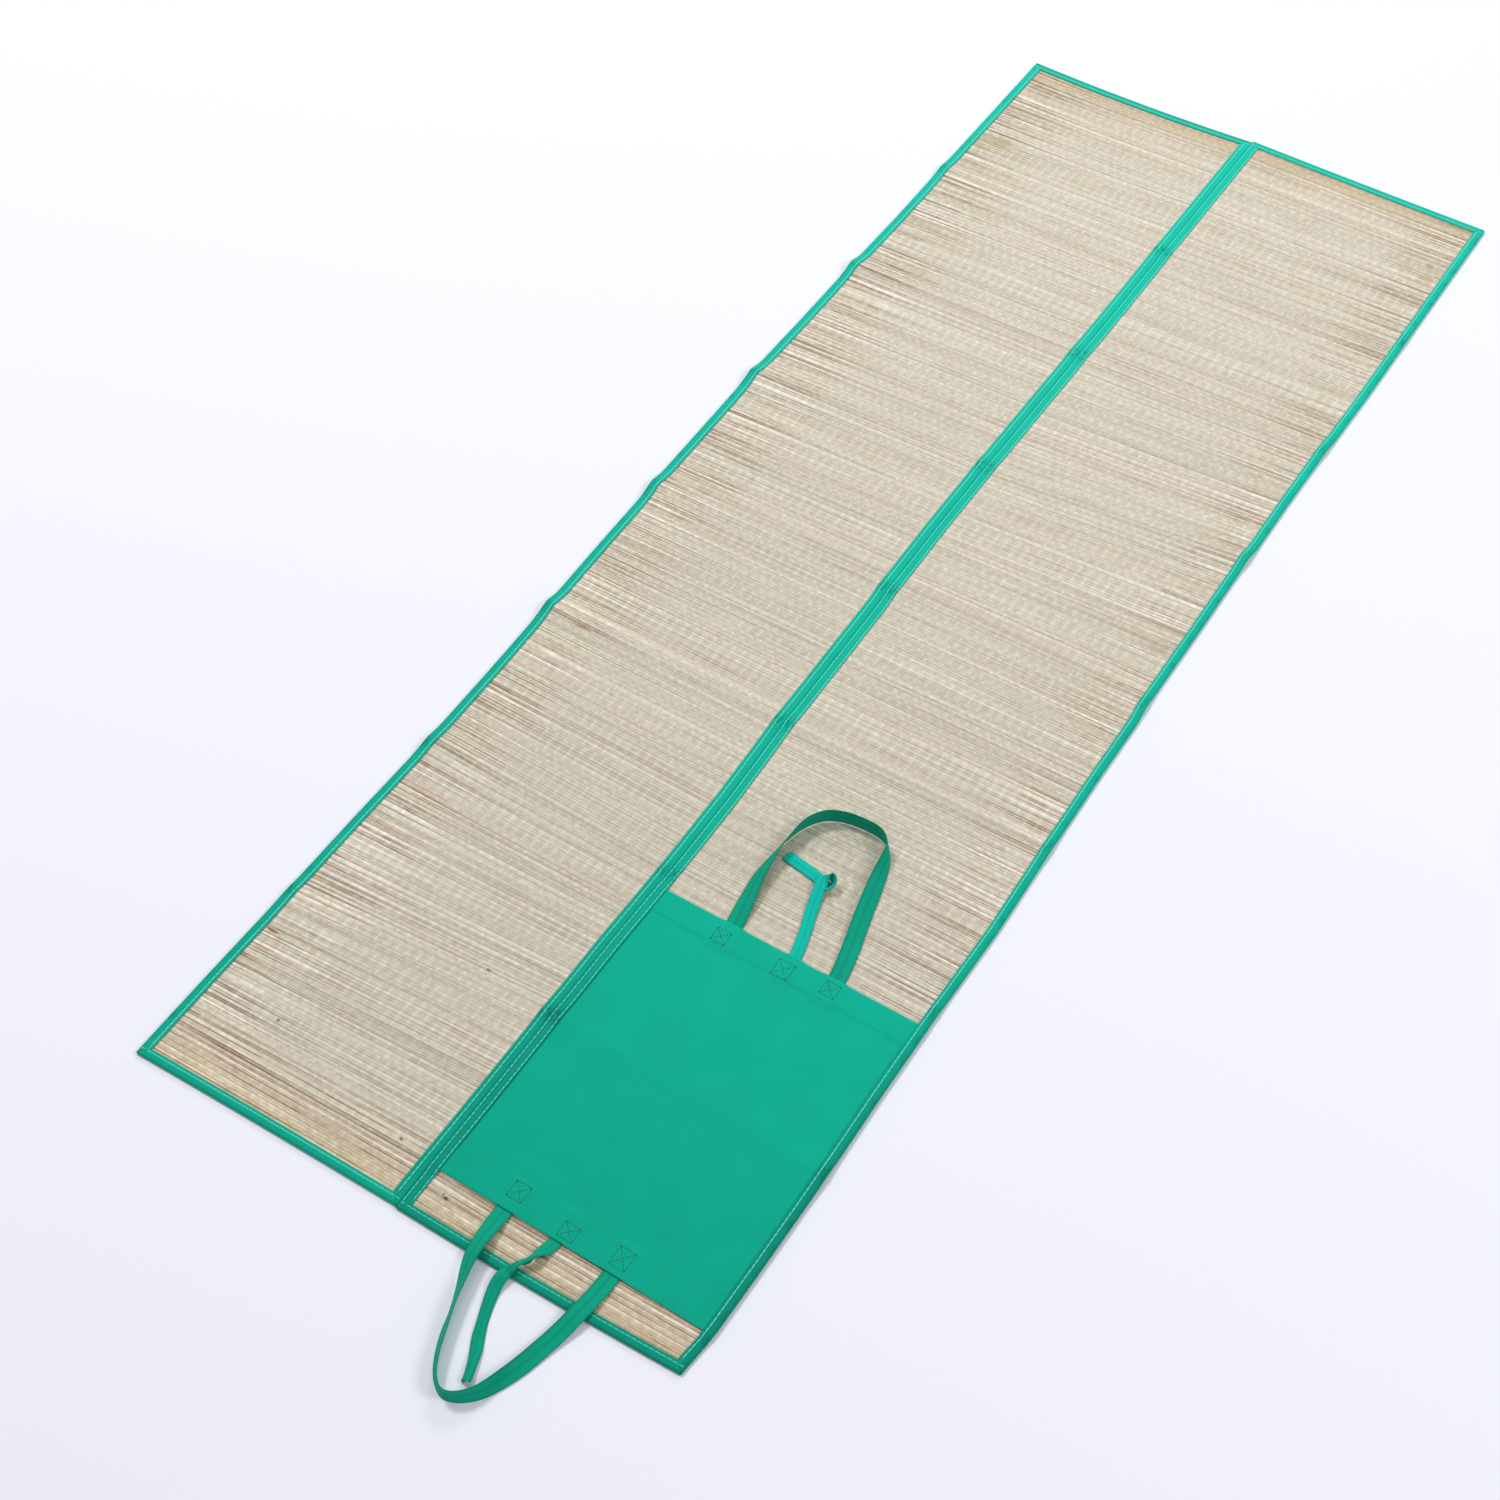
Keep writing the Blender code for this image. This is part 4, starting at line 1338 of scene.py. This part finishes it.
def panel_top(x, y):
    """A point on the panel's upper side."""
    return lay(x, y, panel_height(x, y)[0] + CLOTH_SKIN / 2)


def sew_boxes(material):
    """The crossed boxes over the strap ends."""
    sewing = Sewing()
    slope = (PANEL_NEAR[1] - PANEL_NEAR[0]) / (EDGES[0][3] - EDGES[0][2])
    for x, y, width, depth in STITCH_BOXES:
        corners = [
            (x + across_share * width / 2, y + along_share * depth / 2 + slope * across_share * width / 2)
            for across_share, along_share in ((-1, -1), (1, -1), (1, 1), (-1, 1))
        ]
        for first, second in ((0, 1), (1, 2), (2, 3), (3, 0), (0, 2), (1, 3)):
            path = []
            for step in range(BOX_STEPS + 1):
                share = step / BOX_STEPS
                px = blend(corners[first][0], corners[second][0], share)
                py = blend(corners[first][1], corners[second][1], share)
                path.append(panel_top(px, py))
            sewing.row(path, BOX_STITCH_LENGTH, BOX_STITCH_PITCH, BOX_STITCH_RADIUS)
    return sewing.piece("box_stitches", material, "panel_green")


def sew_hems(material):
    """The rows of stitches that hold the panel's hems."""
    sewing = Sewing()
    for edge, inward in ((PANEL_NEAR, 1), (PANEL_FAR, -1)):
        path = []
        for step in range(HEM_STEPS + 1):
            x = blend(EDGES[0][2] + END_TAPE_WIDTH, EDGES[0][3] - END_TAPE_WIDTH, step / HEM_STEPS)
            path.append(panel_top(x, panel_edge(edge, x) + inward * (HEM_DEPTH - HEM_SEWN)))
        sewing.row(path, HEM_STITCH_LENGTH, HEM_STITCH_PITCH, HEM_STITCH_RADIUS)
    return sewing.piece("hem_stitches", material, "panel_green")


def build_mat():
    straw = straw_material()
    binding = cloth_material("binding_cloth", BINDING_NEAR, BINDING_FAR)
    panel = cloth_material("panel_cloth", PANEL_NEAR_GREEN, PANEL_FAR_GREEN)
    strap = cloth_material("strap_cloth", STRAP_GREEN, STRAP_GREEN)
    turquoise = cloth_material("tie_cloth", TIE_TURQUOISE, TIE_TURQUOISE)
    for half, seed in (("left", 11), ("right", 23)):
        build_straw(half, seed, straw)
        for side in ("outer", "seam"):
            build_long_tape(half, side, binding)
        for end in ("near", "far"):
            build_end_tape(half, end, binding)
    panel_piece = build_panel(panel)
    on_straw = STRAW_TOP + GAP + CLOTH / 2
    on_floor = CLOTH / 2
    build_strap("handle_upper", HANDLE_UPPER, HANDLE_UPPER_WIDTH, 0.0, on_straw, 1, strap)
    build_strap("handle_lower", HANDLE_LOWER, HANDLE_LOWER_WIDTH, 0.0, on_floor, -1, strap)
    build_strap("tie_upper", TIE_UPPER, TIE_WIDTH, 0.5, on_straw, 1, turquoise)
    build_strap("tie_lower", TIE_LOWER, TIE_WIDTH, 0.5, on_floor, -1, strap)
    sew_tapes(thread_material("pale_thread", PALE_THREAD))
    boxes = sew_boxes(thread_material("dark_thread", DARK_THREAD))
    hems = sew_hems(thread_material("panel_thread", PANEL_NEAR_GREEN))


def build_stage():
    """The pale floor, the soft lights and the world."""
    side = FLOOR_SIZE / 2
    mesh = bpy.data.meshes.new("floor")
    corners = ((-side, -side), (side, -side), (side, side), (-side, side))
    mesh.from_pydata([(x, y, -FLOOR_DROP) for x, y in corners], [], [(0, 1, 2, 3)])
    mesh.materials.append(floor_material())
    floor = bpy.data.objects.new("floor", mesh)
    bpy.context.scene.collection.objects.link(floor)
    for name, place, size, power in LIGHTS:
        light = bpy.data.lights.new(name, "AREA")
        light.size = size
        light.energy = power
        lamp = bpy.data.objects.new(name, light)
        lamp.location = place
        lamp.rotation_euler = (Vector(LIGHT_AIM) - Vector(place)).to_track_quat("-Z", "Y").to_euler()
        bpy.context.scene.collection.objects.link(lamp)
    world = bpy.data.worlds.new("studio")
    world.use_nodes = True
    background = world.node_tree.nodes["Background"]
    background.inputs["Color"].default_value = WORLD_COLOUR
    background.inputs["Strength"].default_value = WORLD_STRENGTH
    bpy.context.scene.world = world


def build_camera():
    data = bpy.data.cameras.new("camera")
    data.lens = CAMERA_LENS
    data.sensor_width = CAMERA_SENSOR
    camera = bpy.data.objects.new("camera", data)
    x, y, z = CAMERA_FROM_MAT
    camera.location = (x + MAT_MIDDLE_X, y + MAT_MIDDLE_Y, z + TAPE_TOP)
    camera.rotation_euler = [math.radians(turn) for turn in CAMERA_TURN]
    bpy.context.scene.collection.objects.link(camera)
    bpy.context.scene.camera = camera


build_stage()
build_camera()
build_mat()
bpy.context.scene.view_settings.view_transform = "Standard"
